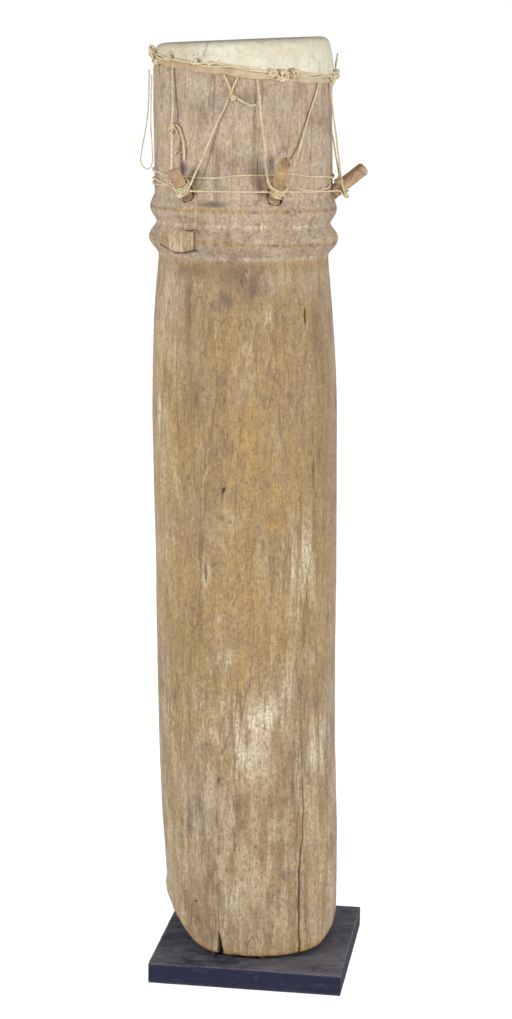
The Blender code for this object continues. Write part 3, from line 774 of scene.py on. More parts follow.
@dataclass
class CarvedLog:
    """The hollow log with its rings, lug, worn foot, split, notch and slot.

    Rows of bleached, rubbed, dark, greyed and reddened places give bearing, height, half width in
    degrees, half height and amount; among the dark places are painted shadows cast by the first two
    pegs. Dents give bearing, height, half width and half height in metres and how far they stand out;
    holes give bearing, height, radius, depth and squash; checks give bearing, lower end, upper end and
    the darkness of their painted shade; scratches give bearing, height, half width and slope.
    """

    form: DrumForm
    pegs: PegSizes
    columns: int = 270
    lug_bearing: float = -36.5
    lug_half: float = 0.032
    lug_face: float = 0.1175
    lug_turn: float = 0.0050
    lug_top: Rows = ((-1, 0.2, 1), (0.9625, 0.969, 0.9672))
    lug_foot: Rows = ((-1, -0.3, 0.25, 1), (0.9462, 0.9388, 0.9392, 0.944))
    slot: tuple[float, float, float, float] = (51.0, 0.8520, 0.8745, 0.0032)
    notch: Triple = (-15.2, 0.0610, 0.0075)
    finer: Rows = ((43.3, 4.6, 4.5), (51, 1.6, 4), (-15.2, 3, 3.5), (-37, 18, 1.6))
    split: Rows = (
        (0.02, 40.4), (0.095, 40.8), (0.149, 41.7), (0.186, 44.8), (0.2287, 46), (0.262, 46),
        (0.33, 44.5), (0.39, 44.6),
    )
    bleached: Rows = (
        (-48, 0.85, 11, 0.07, 0.35), (-58, 0.735, 8, 0.022, 0.75), (-62, 0.6, 16, 0.09, 0.4),
        (45, 0.545, 12, 0.055, 0.95), (19, 0.575, 3, 0.016, 0.7), (-17, 0.54, 4, 0.022, 0.6),
        (-6, 0.43, 7, 0.012, 0.6), (20, 0.36, 12, 0.026, 0.55), (3, 0.325, 13, 0.05, 0.45),
        (33, 0.41, 8, 0.04, 0.45), (60, 0.3, 14, 0.045, 0.35), (-30, 0.29, 5, 0.05, 0.35),
        (72, 0.13, 6, 0.012, 0.9), (-3, 0.115, 6, 0.016, 0.65), (-18, 0.893, 6, 0.016, 0.45),
        (27, 0.86, 10, 0.02, 0.25), (150, 0.5, 30, 0.25, 0.3), (-140, 0.7, 24, 0.16, 0.3),
    )
    rubbed: Rows = (
        (20, 0.8, 22, 0.045, 0.22), (14, 0.746, 5, 0.01, 0.6), (9, 0.7, 11, 0.035, 0.42),
        (11.5, 0.675, 1.6, 0.005, 0.9), (27, 0.605, 7.5, 0.0055, 0.95), (8, 0.51, 11, 0.02, 0.5),
        (-14, 0.5, 4, 0.025, 0.45), (4.5, 0.412, 2.4, 0.026, 0.85), (6, 1.082, 5, 0.01, 0.4),
        (12, 0.262, 9, 0.02, 0.35), (30, 0.46, 20, 0.06, 0.2), (-40, 0.69, 10, 0.06, 0.25),
        (185, 0.45, 30, 0.12, 0.35),
    )
    # Dark places of the wood; the rows at (-32.4, 1.041) and (25.9, 1.049) are painted shadows cast by the first two
    # pegs.
    dark_places: Rows = (
        (-27, 0.92, 13, 0.009, 0.55), (-29.5, 0.885, 2.4, 0.034, 0.8), (-28, 0.83, 2.4, 0.034, 0.65),
        (-24, 0.775, 3, 0.03, 0.45), (0, 0.914, 9, 0.011, 0.5), (-4, 0.886, 5, 0.01, 0.85),
        (-10, 0.876, 3.5, 0.005, 0.65), (15, 0.898, 8, 0.013, 0.5), (62, 0.84, 12, 0.055, 0.3),
        (66, 0.69, 12, 0.09, 0.35), (-19, 0.575, 3, 0.012, 0.55), (28, 0.609, 12, 0.012, 0.3),
        (-22, 0.62, 18, 0.045, 0.18), (53, 0.487, 3, 0.004, 0.8), (76, 0.471, 6, 0.006, 0.6),
        (-11.5, 1, 8, 0.003, 1.5), (-32.4, 1.041, 2.9, 0.0065, 1.9), (25.9, 1.049, 1.7, 0.0105, 1.6),
        (28.6, 1.011, 5, 0.005, 0.9), (13, 1.131, 8, 0.008, 0.5), (-8, 1.066, 4, 0.006, 0.5),
        (-12, 1.12, 16, 0.01, 0.2), (24, 0.184, 4, 0.006, 0.55), (31, 0.146, 3, 0.008, 0.5),
        (-1, 0.135, 1.5, 0.004, 0.6), (-20, 0.23, 6, 0.03, 0.25), (50, 0.385, 16, 0.02, 0.15),
        (-25, 0.11, 14, 0.03, 0.25),
    )
    greyed: Rows = (
        (27, 0.905, 9, 0.016, 0.7), (57, 0.905, 9, 0.022, 0.6), (-45, 0.88, 14, 0.06, 0.45),
        (30, 0.31, 40, 0.08, 0.12), (-30, 0.23, 14, 0.06, 0.45),
    )
    reddened: Rows = ((4, 0.905, 9, 0.014, 1), (-26, 0.918, 12, 0.008, 1.2))
    dents: Rows = (
        (-7, 0.884, 0.012, 0.014, -0.0017), (-12, 0.874, 0.008, 0.006, 0.0014),
        (-16, 0.545, 0.003, 0.02, -0.0012), (20, 0.56, 0.003, 0.01, -0.0008),
        (28.7, 0.2192, 0.02, 0.0012, -0.0007), (18.4, 0.1912, 0.014, 0.001, -0.0006),
        (76, 0.472, 0.006, 0.003, -0.001),
    )
    holes: Rows = (
        (-4.3, 0.648, 0.0011, 0.006, 0.4), (-9.8, 0.2694, 0.0015, 0.006, 0.75),
        (-31.9, 0.0972, 0.0012, 0.004, 0.9),
    )
    checks: Rows = (
        (9.8, 0.975, 1.006, 0.75), (-55.8, 0.212, 0.232, 0.8), (55, 0.64, 0.7, 0.55), (8.5, 0.833, 0.858, 0.5),
        (-17, 0.528, 0.556, 0.7), (-19, 0.56, 0.59, 0.35), (-1.5, 0.17, 0.215, 0.35), (31, 0.13, 0.15, 0.5),
    )
    scratches: Rows = ((35, 0.2165, 9, -0.00016), (19, 0.1905, 5, 0.0002))

    def levels(self) -> Array:
        """Heights of the outside rows, closer at the rings and the foot."""
        f = self.form
        ends = (f.foot_z, f.foot_z + 0.004, 0.12, 0.90, 1.02)
        parts = [np.linspace(a, b, n)[:-1] for a, b, n in zip(ends, ends[1:], (4, 34, 150, 72))]
        return np.concatenate([*parts, np.linspace(ends[-1], f.rim_z, 42)])

    def warp(self, turn: Array) -> Array:
        """Even turns to bearings, with more columns at the split, slot and notch."""
        grid = np.linspace(-180.0, 180.0, 3601)
        dense = np.ones_like(grid)
        for mid, half, gain in self.finer:
            dense += gain * bell(np.abs(grid - mid), half, 4)
        total = np.concatenate([[0.0], np.cumsum((dense[1:] + dense[:-1]) / 2)])
        return np.interp(turn, total / total[-1] * 360.0 - 180.0, grid)

    def lug(self, b: Array, z: Array, out: Array) -> tuple[Array, Array, Array]:
        """Cut the square lug to its own plane.

        Args:
            b: bearings in degrees.
            z: levels in metres.
            out: offsets of the surface round it.

        Returns:
            The offsets, where the lug is, and the darkness of its saw lines and of the painted shadow along its right
            and lower edges.
        """
        off = np.clip(swing(b, self.lug_bearing), -40, 40)
        across = np.tan(np.radians(off)) * self.lug_face / self.lug_half
        plane = (self.lug_face - self.lug_turn * (1.0 - across) / 2) / np.cos(np.radians(off))
        top, foot = (np.interp(across, *rows) for rows in (self.lug_top, self.lug_foot))
        lug = (np.abs(across) < 1.0) & (z > foot) & (z < top)
        edge = np.minimum((1.0 - np.abs(across)) * 0.032, np.minimum(z - foot, top - z))
        lines = wave(17, (110, 190), (0.20, 0.9), b, z)
        face = plane - self.form.outside(z) - 0.0013 * (1.0 - ease(edge / 0.0025)) + 0.00030 * lines
        out = np.where(lug, face, out)
        out = np.where((np.abs(across) < 1.04) & (z <= foot) & (z > foot - 0.004), out - 0.0012, out)
        # Painted shadow along the lug's right and lower edges, where it stands proud.
        rim = bell(edge, 0.0011) * (np.abs(across) < 1.1) * (z > foot - 0.003) * (z < top)
        rim = rim * clip(ease((across + 0.2) / 0.8) + (z < foot + 0.002))
        return out, lug, np.maximum(0.85 * rim, lug * 0.45 * ease((-lines - 0.35) / 0.9))

    def cuts(self, b: Array, z: Array) -> tuple[Array, Array]:
        """How deep the split, slot, notch, holes and checks go, and the painted shade in them, with dark scratch
        lines.
        """
        path = np.interp(z, *zip(*self.split)) + 0.22 * np.sin(z * 170.0) + 0.15 * np.sin(z * 63.0)
        wide = np.interp(z, [0.0, 0.10, 0.18, 0.262, 0.30, 0.39, 0.395], [0.58, 0.52, 0.38, 0.20, 0.11, 0.08, 0.0])
        split = ease(1.35 - np.abs(swing(b, 0.0) - path) / np.maximum(wide, 0.01)) * (z < 0.392)
        deep = split * np.interp(z, [0.0, 0.24, 0.27, 0.39], [0.011, 0.011, 0.0012, 0.0005])
        mid, bottom, high, width = self.slot
        t = clip((z - bottom) / (high - bottom))
        half = np.degrees(width / 0.113) / 2 * np.sin(math.pi * t) ** 0.6
        slot = ease(1.4 - np.abs(swing(b, mid)) / np.maximum(half, 0.01)) * (z > bottom) * (z < high)
        mid, high, width = self.notch
        t = clip((high - z) / (high - self.form.foot_z))
        half = np.degrees(width / 0.112) / 2 * np.interp(t, [0, 0.35, 0.5, 0.8, 1.0], [0.12, 0.62, 0.62, 1.0, 0.95])
        notch = ease(1.35 - np.abs(swing(b, mid)) / np.maximum(half, 0.01)) * (z < high)
        deep += 0.010 * slot + 0.0125 * notch
        # Painted shade: near-black in the split, slot and notch; the holes, checks and scratch lines below add their
        # own dark.
        crack_shade = clip(split * np.interp(z, [0.25, 0.28, 0.39], [1.1, 0.7, 0.3]) + slot * 1.2 + notch * 1.3)
        for at, high, size, depth, tall in self.holes:
            hole = np.hypot(swing(b, at) * 0.0020, (z - high) * tall) / size
            deep += depth * ease(1.6 - hole)
            crack_shade = np.maximum(crack_shade, ease(1.9 - hole))
        for at, low, high, amount in self.checks:
            near = ease(1.7 - np.abs(swing(b, at) + 0.3 * np.sin(z * 90.0 + at)) / 0.36)
            near = near * ease((z - low) / 0.006) * ease((high - z) / 0.006)
            deep += 0.0007 * near
            crack_shade = np.maximum(crack_shade, amount * near)
        for at, high, wide_line, slope in self.scratches:
            line = bell(z - high - slope * swing(b, at), 0.0009)
            crack_shade = np.maximum(crack_shade, 0.5 * line * (np.abs(swing(b, at)) < wide_line))
        return deep, crack_shade

    def relief(self, b: Array, z: Array) -> tuple[Array, Array, Array]:
        """How far the outside stands off its plain form, and the masks.

        Args:
            b: bearings in degrees.
            z: levels in metres.

        Returns:
            The offset in metres and two (n, 3) arrays of masks.
        """
        f = self.form
        scrape = wave(5, (14, 34), (0.12, 0.4), b, z, 18)
        out = 0.0006 * wave(3, (1, 4), (0.25, 0.9), b, z) + 0.00035 * scrape
        corner = 0.0010 * ease((0.120 - z) / 0.05) + 0.0032 * ease((0.060 - z) / 0.024)
        out += bell(swing(b, -80.0), 30.0) * corner
        out += 0.00016 * wave(9, (60, 120), (0.03, 0.12), b, z, 24)
        ring = np.maximum(f.ring(z, f.ring_low) / f.ring_low[2], f.ring(z, f.ring_up) / f.ring_up[2])
        out += ring * 0.0004 * wave(11, (4, 14), (0.03, 0.10), b, z, 16)
        out += clip((ring - 0.90) / 0.10) * 0.00025 * wave(13, (40, 100), (0.015, 0.05), b, z, 26)
        ridge = swing(b, -28.5)
        inside = ease((z - 0.760) / 0.06) * ease((0.930 - z) / 0.02)
        out -= 0.0012 * inside * ease(ridge / 0.9) * np.exp(-np.clip(ridge, 0, None) / 9.0)
        for at, high, wide, tall, amount in self.dents:
            out += amount * np.exp(-((swing(b, at) * 0.0020 / wide) ** 2 + ((z - high) / tall) ** 2))
        out, lug, lug_shadow_and_saw_lines = self.lug(b, z, out)
        deep, crack_shade = self.cuts(b, z)
        tone, tone2 = self.tones(b, z, scrape)
        # Painted shade of the cuts, and the lug's painted edge shadow with its saw lines.
        tone2[:, 1] = np.maximum(crack_shade, lug_shadow_and_saw_lines)
        tone[:, 0] += 0.55 * lug
        tone[:, 1] = np.where(lug, 0.30, tone[:, 1])
        tone[:, 2] *= 1.0 - 0.7 * lug
        tone2[:, 0] *= 1.0 - 0.6 * lug
        return out - deep, tone, tone2

    def tones(self, b: Array, z: Array, scrape: Array) -> tuple[Array, Array]:
        """Masks of bleached, worn, stained, greyed and reddened places; the stained mask also holds painted peg
        shadows.

        Args:
            b: bearings.
            z: levels.
            scrape: the scraped facets' field.

        Returns:
            Masks (bleached, worn, stained with painted peg shadows) and (grey, painted crack shade left empty here,
            red).
        """

        def strokes(rows: Rows) -> Array:
            """Sum of soft strokes."""
            total = np.zeros(len(b))
            for at, high, wide, tall, amount in rows:
                total += amount * np.exp(-((swing(b, at) / wide) ** 2) - ((z - high) / tall) ** 2)
            return total

        def speckle(seed: int, around: tuple[int, int], length: tuple[float, float], count: int) -> Array:
            """A random field from 0 to 1."""
            return clip(0.5 + 0.5 * wave(seed, around, length, b, z, count))

        patchy = speckle(21, (3, 14), (0.04, 0.20), 24)
        fine = speckle(23, (12, 50), (0.02, 0.10), 30)
        splinter = speckle(25, (10, 60), (0.004, 0.012), 30)
        up = bell(z - 0.9926, 0.0021)
        low = bell(z - 0.9542 + 0.00006 * swing(b, -10.0), 0.0019)
        thin = bell(z - 0.9915, 0.0014) + bell(z - 0.9520, 0.0014)
        lively = bell(swing(b, -14.0), 20.0, 4)
        tail = bell(swing(b, -8.0), 15.0, 4)
        bleach = strokes(self.bleached) + 0.22 * ease((0.42 - z) / 0.10)
        bleach += 0.75 * bell(z - 0.9725 - 0.0012 * np.cos(np.radians(b)), 0.0011)
        bleach += 0.55 * bell(z - 0.9345, 0.0013) + 0.45 * bell(z - 1.0075, 0.0009)
        bleach += up * lively * clip(splinter - 0.45) * 3.6 + low * tail * clip(splinter - 0.5) * 3.0
        worn = strokes(self.rubbed) + up * lively * (0.35 + 1.1 * splinter) + low * tail * (0.55 + 0.9 * splinter)
        worn += thin * (0.05 + 1.3 * clip(fine - 0.35))
        worn += 0.14 * ease((z - 0.40) / 0.08) * ease((0.90 - z) / 0.05)
        worn += 2.2 * (1.0 - ease((z - self.form.foot_z) / 0.0065)) + 0.25 * ease((0.075 - z) / 0.04) * patchy
        # Stained places, with the painted peg shadows from the dark-place rows.
        stain = strokes(self.dark_places) + 0.22 * clip(fine - 0.62) * 2.2 + thin * clip(0.50 - fine) * 2.4
        stain += 0.16 * ease((z - 0.72) / 0.05) * ease((0.935 - z) / 0.01) * bell(swing(b, 18.0), 40.0, 4)
        stain += (up + low) * (1.0 - lively) * clip(0.55 - fine)
        away = np.abs(swing(b, 8.0))
        red = ease((away - 62.0) / 12.0) * ease((125.0 - away) / 20.0) * (up + low) * 0.85
        red += 0.22 * ease((swing(b, 66.0) + 8.0) / 8.0) * (np.abs(swing(b, 70.0)) < 14) * (z < 0.9)
        red += 0.25 * strokes(self.reddened)
        side = ease((away - 48.0) / 36.0)
        grey = 0.88 * ease((z - 0.925) / 0.015) + 0.20 * ease((0.19 - z) / 0.10)
        grey += 0.70 * side * ease((0.93 - z) / 0.02) + strokes(self.greyed) + 0.15 * clip(scrape)
        grey *= 1.0 - 0.8 * clip(up + low) * (1.0 - side)
        tone = np.stack([bleach * (0.6 + 0.7 * patchy), worn, stain * (0.7 + 0.5 * fine)], axis=1)
        return tone, np.stack([grey * (0.65 + 0.5 * patchy), np.zeros_like(grey), red], axis=1)

    def build(self) -> Mesh:
        """Turn the section, carve it and cut the sockets."""
        f = self.form
        section = [(0.200, z) for z in self.levels()] + [(0.100, z) for z in np.linspace(f.rim_z, f.foot_z, 26)]
        obj = turned(section, self.columns)
        co = coords(obj)
        b, z = self.warp(bearing_of(co)), co[:, 2]
        is_out = np.hypot(co[:, 0], co[:, 1]) > 0.15
        off, tone, tone2 = self.relief(b, z)
        near_foot = clip(1.0 - (z - f.foot_z) / 0.0045)
        off = off - 0.0014 * near_foot**2 * (1.0 + 0.4 * wave(31, (6, 24), (0.02, 0.06), b, z, 20))
        near_rim = clip(1.0 - (f.rim_z - z) / (1.4 * f.rim_round))
        off = np.where(z > f.neck_z, np.minimum(off * 0.4, 0.0), off) - f.rim_round * near_rim**1.3
        groove = 0.0006 * wave(37, (7, 21), (0.05, 0.3), b, z, 16)
        r = np.where(is_out, f.outside(z) + off, f.inside(z) + groove)
        ragged = 0.00035 * wave(41, (5, 36), (9.0, 10.0), b, z * 0.0, 26) * clip((0.12 - z) / 0.086)
        set_coords(obj, f.place(b, r, f.level(z, b) + ragged))
        tone[~is_out] *= 0.3
        tone2[~is_out] = (0.8, 0.0, 0.0)
        paint(obj, "tone", *tone.T)
        paint(obj, "tone2", *tone2.T)
        self.cut_sockets(obj)
        return settle(obj, "log_body", turn=False)

    def cut_sockets(self, obj: Mesh) -> None:
        """Cut the peg sockets with one joined cutter."""
        long = 0.045
        tools = []
        for k, row in enumerate(self.pegs.rows):
            mouth, way, _side, _up = self.pegs.line(self.form, k)
            place = mouth - way * self.pegs.socket + way * long / 2
            turn = way.to_track_quat("Z", "Y").to_euler()
            deselect()
            bpy.ops.mesh.primitive_cylinder_add(
                vertices=22, radius=row[3] + 0.0009, depth=long, location=place, rotation=turn
            )
            tools.append(bpy.context.object)
        for tool in tools:
            tool.select_set(True)
        bpy.context.view_layer.objects.active = tools[0]
        bpy.ops.object.join()
        tool = bpy.context.object
        take(tool)
        bpy.ops.object.transform_apply(location=True, rotation=True, scale=True)
        mod = obj.modifiers.new("sockets", "BOOLEAN")
        mod.operation = "DIFFERENCE"
        mod.solver = "EXACT"
        mod.object = tool
        take(obj)
        bpy.ops.object.modifier_apply(modifier=mod.name)
        bpy.data.objects.remove(tool, do_unlink=True)


@dataclass
class SkinHead:
    """The skin drawn over the rim, its hem, creases and standing flap.

    Hem steps give bearing, half width in degrees and rise. Stitch holes, painted as dark spots of shade, give
    bearing, height over the binding, half width in degrees and half height.
    """

    form: DrumForm
    skin: float = 0.0013
    hem_z: float = 1.1589
    hem_slope: float = 0.0123
    hem_low: float = 68.0
    bind_z: float = 1.1665
    bind_slope: float = 0.0120
    bind_low: float = 82.0
    columns: int = 240
    side_rows: int = 40
    top_rows: int = 22
    corner: float = 0.0118
    shoulder: float = 0.0094
    hem_steps: Rows = (
        (-22, 2.6, -0.0016), (-2, 4, 0.001), (12, 3, -0.0014), (27, 3.4, 0.0014), (38, 5, -0.001),
        (-50, 5, 0.0012),
    )
    stitches: Rows = (
        (-57.5, 0.002, 0.9, 0.0012), (-47.5, 0.003, 0.8, 0.0011), (-45, 0.008, 0.5, 0.0009),
        (-43, 0.009, 0.5, 0.0009), (-24, 0.008, 0.8, 0.001), (-21, 0.0098, 0.6, 0.0009),
        (-16, 0.011, 0.6, 0.0009), (-13, 0.0115, 0.5, 0.0008), (-6, 0.006, 0.4, 0.0009),
    )

    def hem(self, b: Array) -> Array:
        """Height of the lower edge."""
        return self.hem_z - self.hem_slope * np.cos(np.radians(np.asarray(b) - self.hem_low))

    def bind(self, b: Array) -> Array:
        """Height of the binding cord."""
        return self.bind_z - self.bind_slope * np.cos(np.radians(np.asarray(b) - self.bind_low))

    def radius(self, z: Array, b: Array) -> Array:
        """Outer radius of the skin's side."""
        return self.form.outside(self.form.level_of(z, b)) + GAP + self.skin

    def shell(self) -> Mesh:
        """A thin shell whose rows are marked by height: 0 to 1 the side, 1.1 and 1.2 the top's two faces."""
        rows = [(0.20, i / (self.side_rows - 1)) for i in range(self.side_rows)]
        rows += [(0.19 * (1 - i / self.top_rows), 1.2) for i in range(1, self.top_rows)]
        rows += [(0.0, 1.2), (0.0, 1.1)] + [(0.15 * i / 8, 1.1) for i in range(1, 8)]
        rows += [(0.15, 1.0 - i / 11) for i in range(12)]
        obj = turned(rows, self.columns)
        take(obj)
        mode("EDIT", "SELECT")
        bpy.ops.mesh.remove_doubles(threshold=0.00001)
        bpy.ops.mesh.delete_loose()
        mode("OBJECT")
        return obj

    def build(self) -> Mesh:
        """Turn the skin as a thin shell and shape hem, pleats and top."""
        f = self.form
        obj = self.shell()
        co = coords(obj)
        rr, mark = np.hypot(co[:, 0], co[:, 1]), co[:, 2]
        b = np.where(rr < 1e-6, 0.0, bearing_of(co))
        outer_side = (rr > 0.195) & (mark < 1.05)
        outer_top = mark > 1.15
        inner_side = (rr > 0.14) & (rr < 0.17) & (mark < 1.05)
        edge_r = f.rim_r + GAP + self.skin
        rim = f.level(f.rim_z, b)
        hem = self.hem(b) + 0.0008 * wave(51, (7, 30), (5.0, 6.0), b, b * 0.0, 18)
        for at, wide, more in self.hem_steps:
            hem = hem + more * bell(swing(b, at), wide)
        shoulder = rim - self.shoulder
        z_side = hem + (shoulder - hem) * mark
        bind = self.bind(b)
        below = ease((bind - z_side) / 0.004)
        puff = 0.00045 * wave(53, (18, 46), (0.02, 0.09), b, z_side, 26) * (0.5 + below * 1.5)
        puff = puff + 0.0004 * wave(55, (4, 14), (0.03, 0.12), b, z_side, 16)
        puff = np.maximum(puff + 0.0014 * below - 0.0006 * bell(z_side - bind, 0.0035), -0.0004)
        crease_and_shade = bell(swing(b, -18.0 + 3.0 * (z_side - 1.17) / 0.02), 0.9) * (z_side > bind)
        puff = puff - 0.0007 * crease_and_shade
        arc = clip((0.19 - rr) / 0.19)
        turn = clip(arc / 0.26) * math.pi / 2
        flat_t = clip((arc - 0.26) / 0.74)
        flat_r = (edge_r - self.corner) * (1 - flat_t)
        r_top = edge_r - self.corner + (self.radius(shoulder, b) - edge_r + self.corner) * np.cos(turn) ** 0.86
        z_top = shoulder + (self.shoulder + GAP + self.skin) * np.sin(turn)
        z_flat = f.rim_z + f.rim_tilt(b, 1.0) * flat_r + GAP + self.skin
        dimple = 0.0004 * wave(57, (1, 5), (0.4, 0.8), b, flat_r, 10) * (flat_r / 0.1)
        r_top = np.where(arc > 0.26, flat_r, r_top)
        z_top = np.where(arc > 0.26, z_flat - np.abs(dimple) - 0.0005 * np.sin(math.pi * flat_t), z_top)
        r_in = (edge_r - 0.0090) * clip(rr / 0.15)
        z_in = f.rim_z + f.rim_tilt(b, 1.0) * r_in + GAP
        z_in = np.where(rr < 0.13, z_in - 0.0008, z_in)
        z_inner = hem + (rim - 0.0085 - hem) * mark
        r_inner = self.radius(z_inner, b) - self.skin + np.clip(puff, 0, 0.001) * 0.6
        where = [outer_side, outer_top, (mark > 1.05) & (mark < 1.15), inner_side]
        r = np.select(where, [self.radius(z_side, b) + puff, r_top, r_in, r_inner], r_in)
        z = np.select(where, [z_side, z_top, z_in, z_inner], z_in)
        set_coords(obj, f.place(b, r, z))
        hem_mask = outer_side * ease((bind + 0.001 - z_side) / 0.003)
        hem_mask = hem_mask * (0.70 + 0.30 * ease((20.0 - swing(b, 10.0)) / 40.0))
        old = ease((-18.0 - b) / 2.0) * ease((b + 110.0) / 10.0) * 0.42
        old = old + 0.30 * clip(wave(61, (6, 30), (0.01, 0.05), b, z_side, 24)) * (b < -10.0) * (b > -110.0)
        old = np.maximum(old, 0.35 * ease((np.abs(b) - 120.0) / 30.0)) * np.where(outer_top, 0.7, 1.0)
        # Painted shade: a dark line under the binding cord, a painted shadow along the hem's lower edge, darker
        # mottling below the binding, and dark spots for the stitch holes.
        dark = bell(z_side - bind, 0.0012) * 0.7 + clip(1.0 - (z_side - hem) / 0.0012) * 0.45
        dark = dark + below * clip(wave(59, (10, 34), (0.01, 0.03), b, z_side, 20)) * 0.35
        for at, up, wide, tall in self.stitches:
            dark = dark + np.exp(-((swing(b, at) / wide) ** 2) - ((z_side - bind - up) / tall) ** 2)
        paint(obj, "tone", hem_mask, old, crease_and_shade * 0.5 + dark * outer_side)
        return settle(obj, "skin_head")

    def build_flap(self) -> Mesh:
        """Small curled leaf of spare skin at the right."""
        bearing, foot = 97.0, 1.160
        way = facing(bearing)
        base = self.form.axis_point(foot) + way * float(self.radius(foot, bearing) + 0.0012)
        deselect()
        bpy.ops.mesh.primitive_grid_add(x_subdivisions=10, y_subdivisions=22, size=1.0)
        obj = bpy.context.object
        co = coords(obj)
        u, v = co[:, 0] * 2, co[:, 1] + 0.5
        half = np.interp(v, [0, 0.3, 0.6, 0.85, 1.0], [0.0028, 0.0046, 0.0044, 0.0028, 0.0006])
        across = u * half + 0.0006 * np.sin(v * 5.0)
        out = 0.0022 * v + 0.0010 * u**2 * (0.4 + v) + 0.0004 * np.sin(v * 9.0 + u * 2)
        side = UP.cross(way)
        set_coords(obj, np.array(base) + np.outer(across, side) + np.outer(out, way) + np.outer(0.0225 * v, UP))
        solid = obj.modifiers.new("thick", "SOLIDIFY")
        solid.thickness = 0.0009
        solid.offset = 0.0
        paint(obj, "tone", v * 0 + 0.7, v * 0 + 0.6, v * 0)
        return settle(obj, "skin_ear")


@dataclass
class Cordage:
    """Laces, belts, wraps, binding, knots and the loop that hangs free.

    Loose belt points give bearing and height; second belts give both ends' bearing and height; knots
    give bearing, half width and height over the binding. Strands are laid through rows of bearing,
    height and lift, and small knots tie them.
    """

    form: DrumForm
    pegs: PegSizes
    head: SkinHead
    radius: float = 0.00135
    loop_radius: float = 0.0008
    belt_up: float = 1.0345
    loose: Rows = ((232.0, 1.0215), (262.0, 1.0262), (296.0, 1.0262))
    second_belts: Rows = ((-40.0, 1.0225, -98.0, 1.0250), (40.0, 1.0215, 82.0, 1.0215))
    lace_offs: tuple[float, float] = (-11.0, 34.0)
    knots: Rows = (
        (-80, 0.0075, 0.005), (-68, 0.0064, 0.002), (-58, 0.0044, -0.007), (-43, 0.0046, 0.001),
        (-22, 0.0044, 0.001), (-12, 0.0034, 0.001), (27, 0.0056, -0.001), (33, 0.0088, -0.003),
        (41, 0.007, 0.001), (80, 0.0066, -0.003), (92, 0.0072, 0.003), (160, 0.0044, 0), (220, 0.0044, 0),
    )
    strands: tuple[tuple[str, float, Rows], ...] = (
        ("bow_cord", 0.9, (
            (-38.5, 1.093, 0.0012), (-36.5, 1.0945, 0.002), (-33.8, 1.09, 0.0018), (-31.4, 1.078, 0.0012),
            (-30.2, 1.065, 0.001), (-30.6, 1.052, 0.0006),
        )),
        ("bow_cord_inner", 0.85, (
            (-38.8, 1.092, 0.0016), (-35.6, 1.087, 0.0026), (-33.6, 1.079, 0.0024), (-34.6, 1.069, 0.002),
            (-36.4, 1.062, 0.0014), (-38.6, 1.059, 0.001),
        )),
        ("bow_back", 0.85, (
            (-40, 1.096, 0.001), (-42.5, 1.09, 0.0016), (-42, 1.083, 0.0016), (-39.2, 1.088, 0.0014),
        )),
        ("tail_cord", 0.9, (
            (3.2, 1.13, 0.001), (5.5, 1.1275, 0.0006), (9, 1.1235, 0.0012), (13.5, 1.12, 0.0008),
            (16.6, 1.1205, 0.0002),
        )),
        ("lace_strand", 0.85, (
            (-3, 1.156, 0), (0, 1.144, 0.0006), (2.2, 1.131, 0.001),
        )),
        ("hem_cord", 0.6, (
            (-57, 1.166, 0.005), (-57.6, 1.159, 0.006), (-57, 1.152, 0.004),
        )),
        ("right_end", 0.6, (
            (46, 1.16, 0.0058), (60, 1.157, 0.0066), (76, 1.1545, 0.0058),
        )),
    )
    loop_bearing: float = -82.0
    loop: Rows = (
        (0.5, 0.005, 1.16), (0, 0.0052, 1.1517), (-0.2, 0.0055, 1.1419), (-0.4, 0.0062, 1.1247),
        (-0.5, 0.0074, 1.1074), (-0.6, 0.0109, 1.0851), (-0.6, 0.0151, 1.0634), (-0.4, 0.0174, 1.0503),
        (0, 0.0159, 1.0416), (0.4, 0.0087, 1.0364), (0.7, 0.004, 1.0405), (0.9, 0.0022, 1.0505),
        (1.2, 0.0026, 1.0667), (1.4, 0.0038, 1.0914), (1.6, 0.0031, 1.1223), (1.7, 0.0023, 1.142),
        (1.8, 0.002, 1.153),
    )
    made: list[Mesh] = field(default_factory=list)

    def curve(self, name: str, lines: list[list[Vector]], radius: float, closed: bool, level: int = 1) -> Mesh:
        """A round curve through points, one spline for each strand."""
        data = bpy.data.curves.new(name, "CURVE")
        data.dimensions = "3D"
        data.bevel_depth = radius
        data.bevel_resolution = level
        data.use_fill_caps = not closed
        for pts in lines:
            line = data.splines.new("POLY")
            line.points.add(len(pts) - 1)
            for spot, p in zip(line.points, pts):
                spot.co = (*p, 1.0)
            line.use_cyclic_u = closed
            line.use_smooth = True
        obj = bpy.data.objects.new(name, data)
        bpy.context.scene.collection.objects.link(obj)
        return obj

    def even(self, pts: list[Vector], step: float, closed: bool = False) -> list[Vector]:
        """Evenly spaced points on a smooth curve through the given ones."""
        if closed:
            ring = [pts[-1], *pts, pts[0], pts[1]]
        else:
            ring = [pts[0] * 2 - pts[1], *pts, pts[-1] * 2 - pts[-2]]
        dense: list[Vector] = []
        for a, b, c, d in zip(ring, ring[1:], ring[2:], ring[3:]):
            for k in range(16):
                t = k / 16
                bend = (2 * a - 5 * b + 4 * c - d) * t * t + (3 * b - a - 3 * c + d) * t**3
                dense.append(0.5 * ((2 * b) + (c - a) * t + bend))
        dense.append(pts[0] if closed else pts[-1])
        co = np.array([tuple(p) for p in dense])
        run = np.concatenate([[0], np.cumsum(np.linalg.norm(np.diff(co, axis=0), axis=1))])
        want = np.linspace(0, run[-1], max(4, int(round(run[-1] / step))) + 1)
        if closed:
            want = want[:-1]
        return [Vector(p) for p in np.stack([np.interp(want, run, co[:, a]) for a in range(3)], axis=1)]

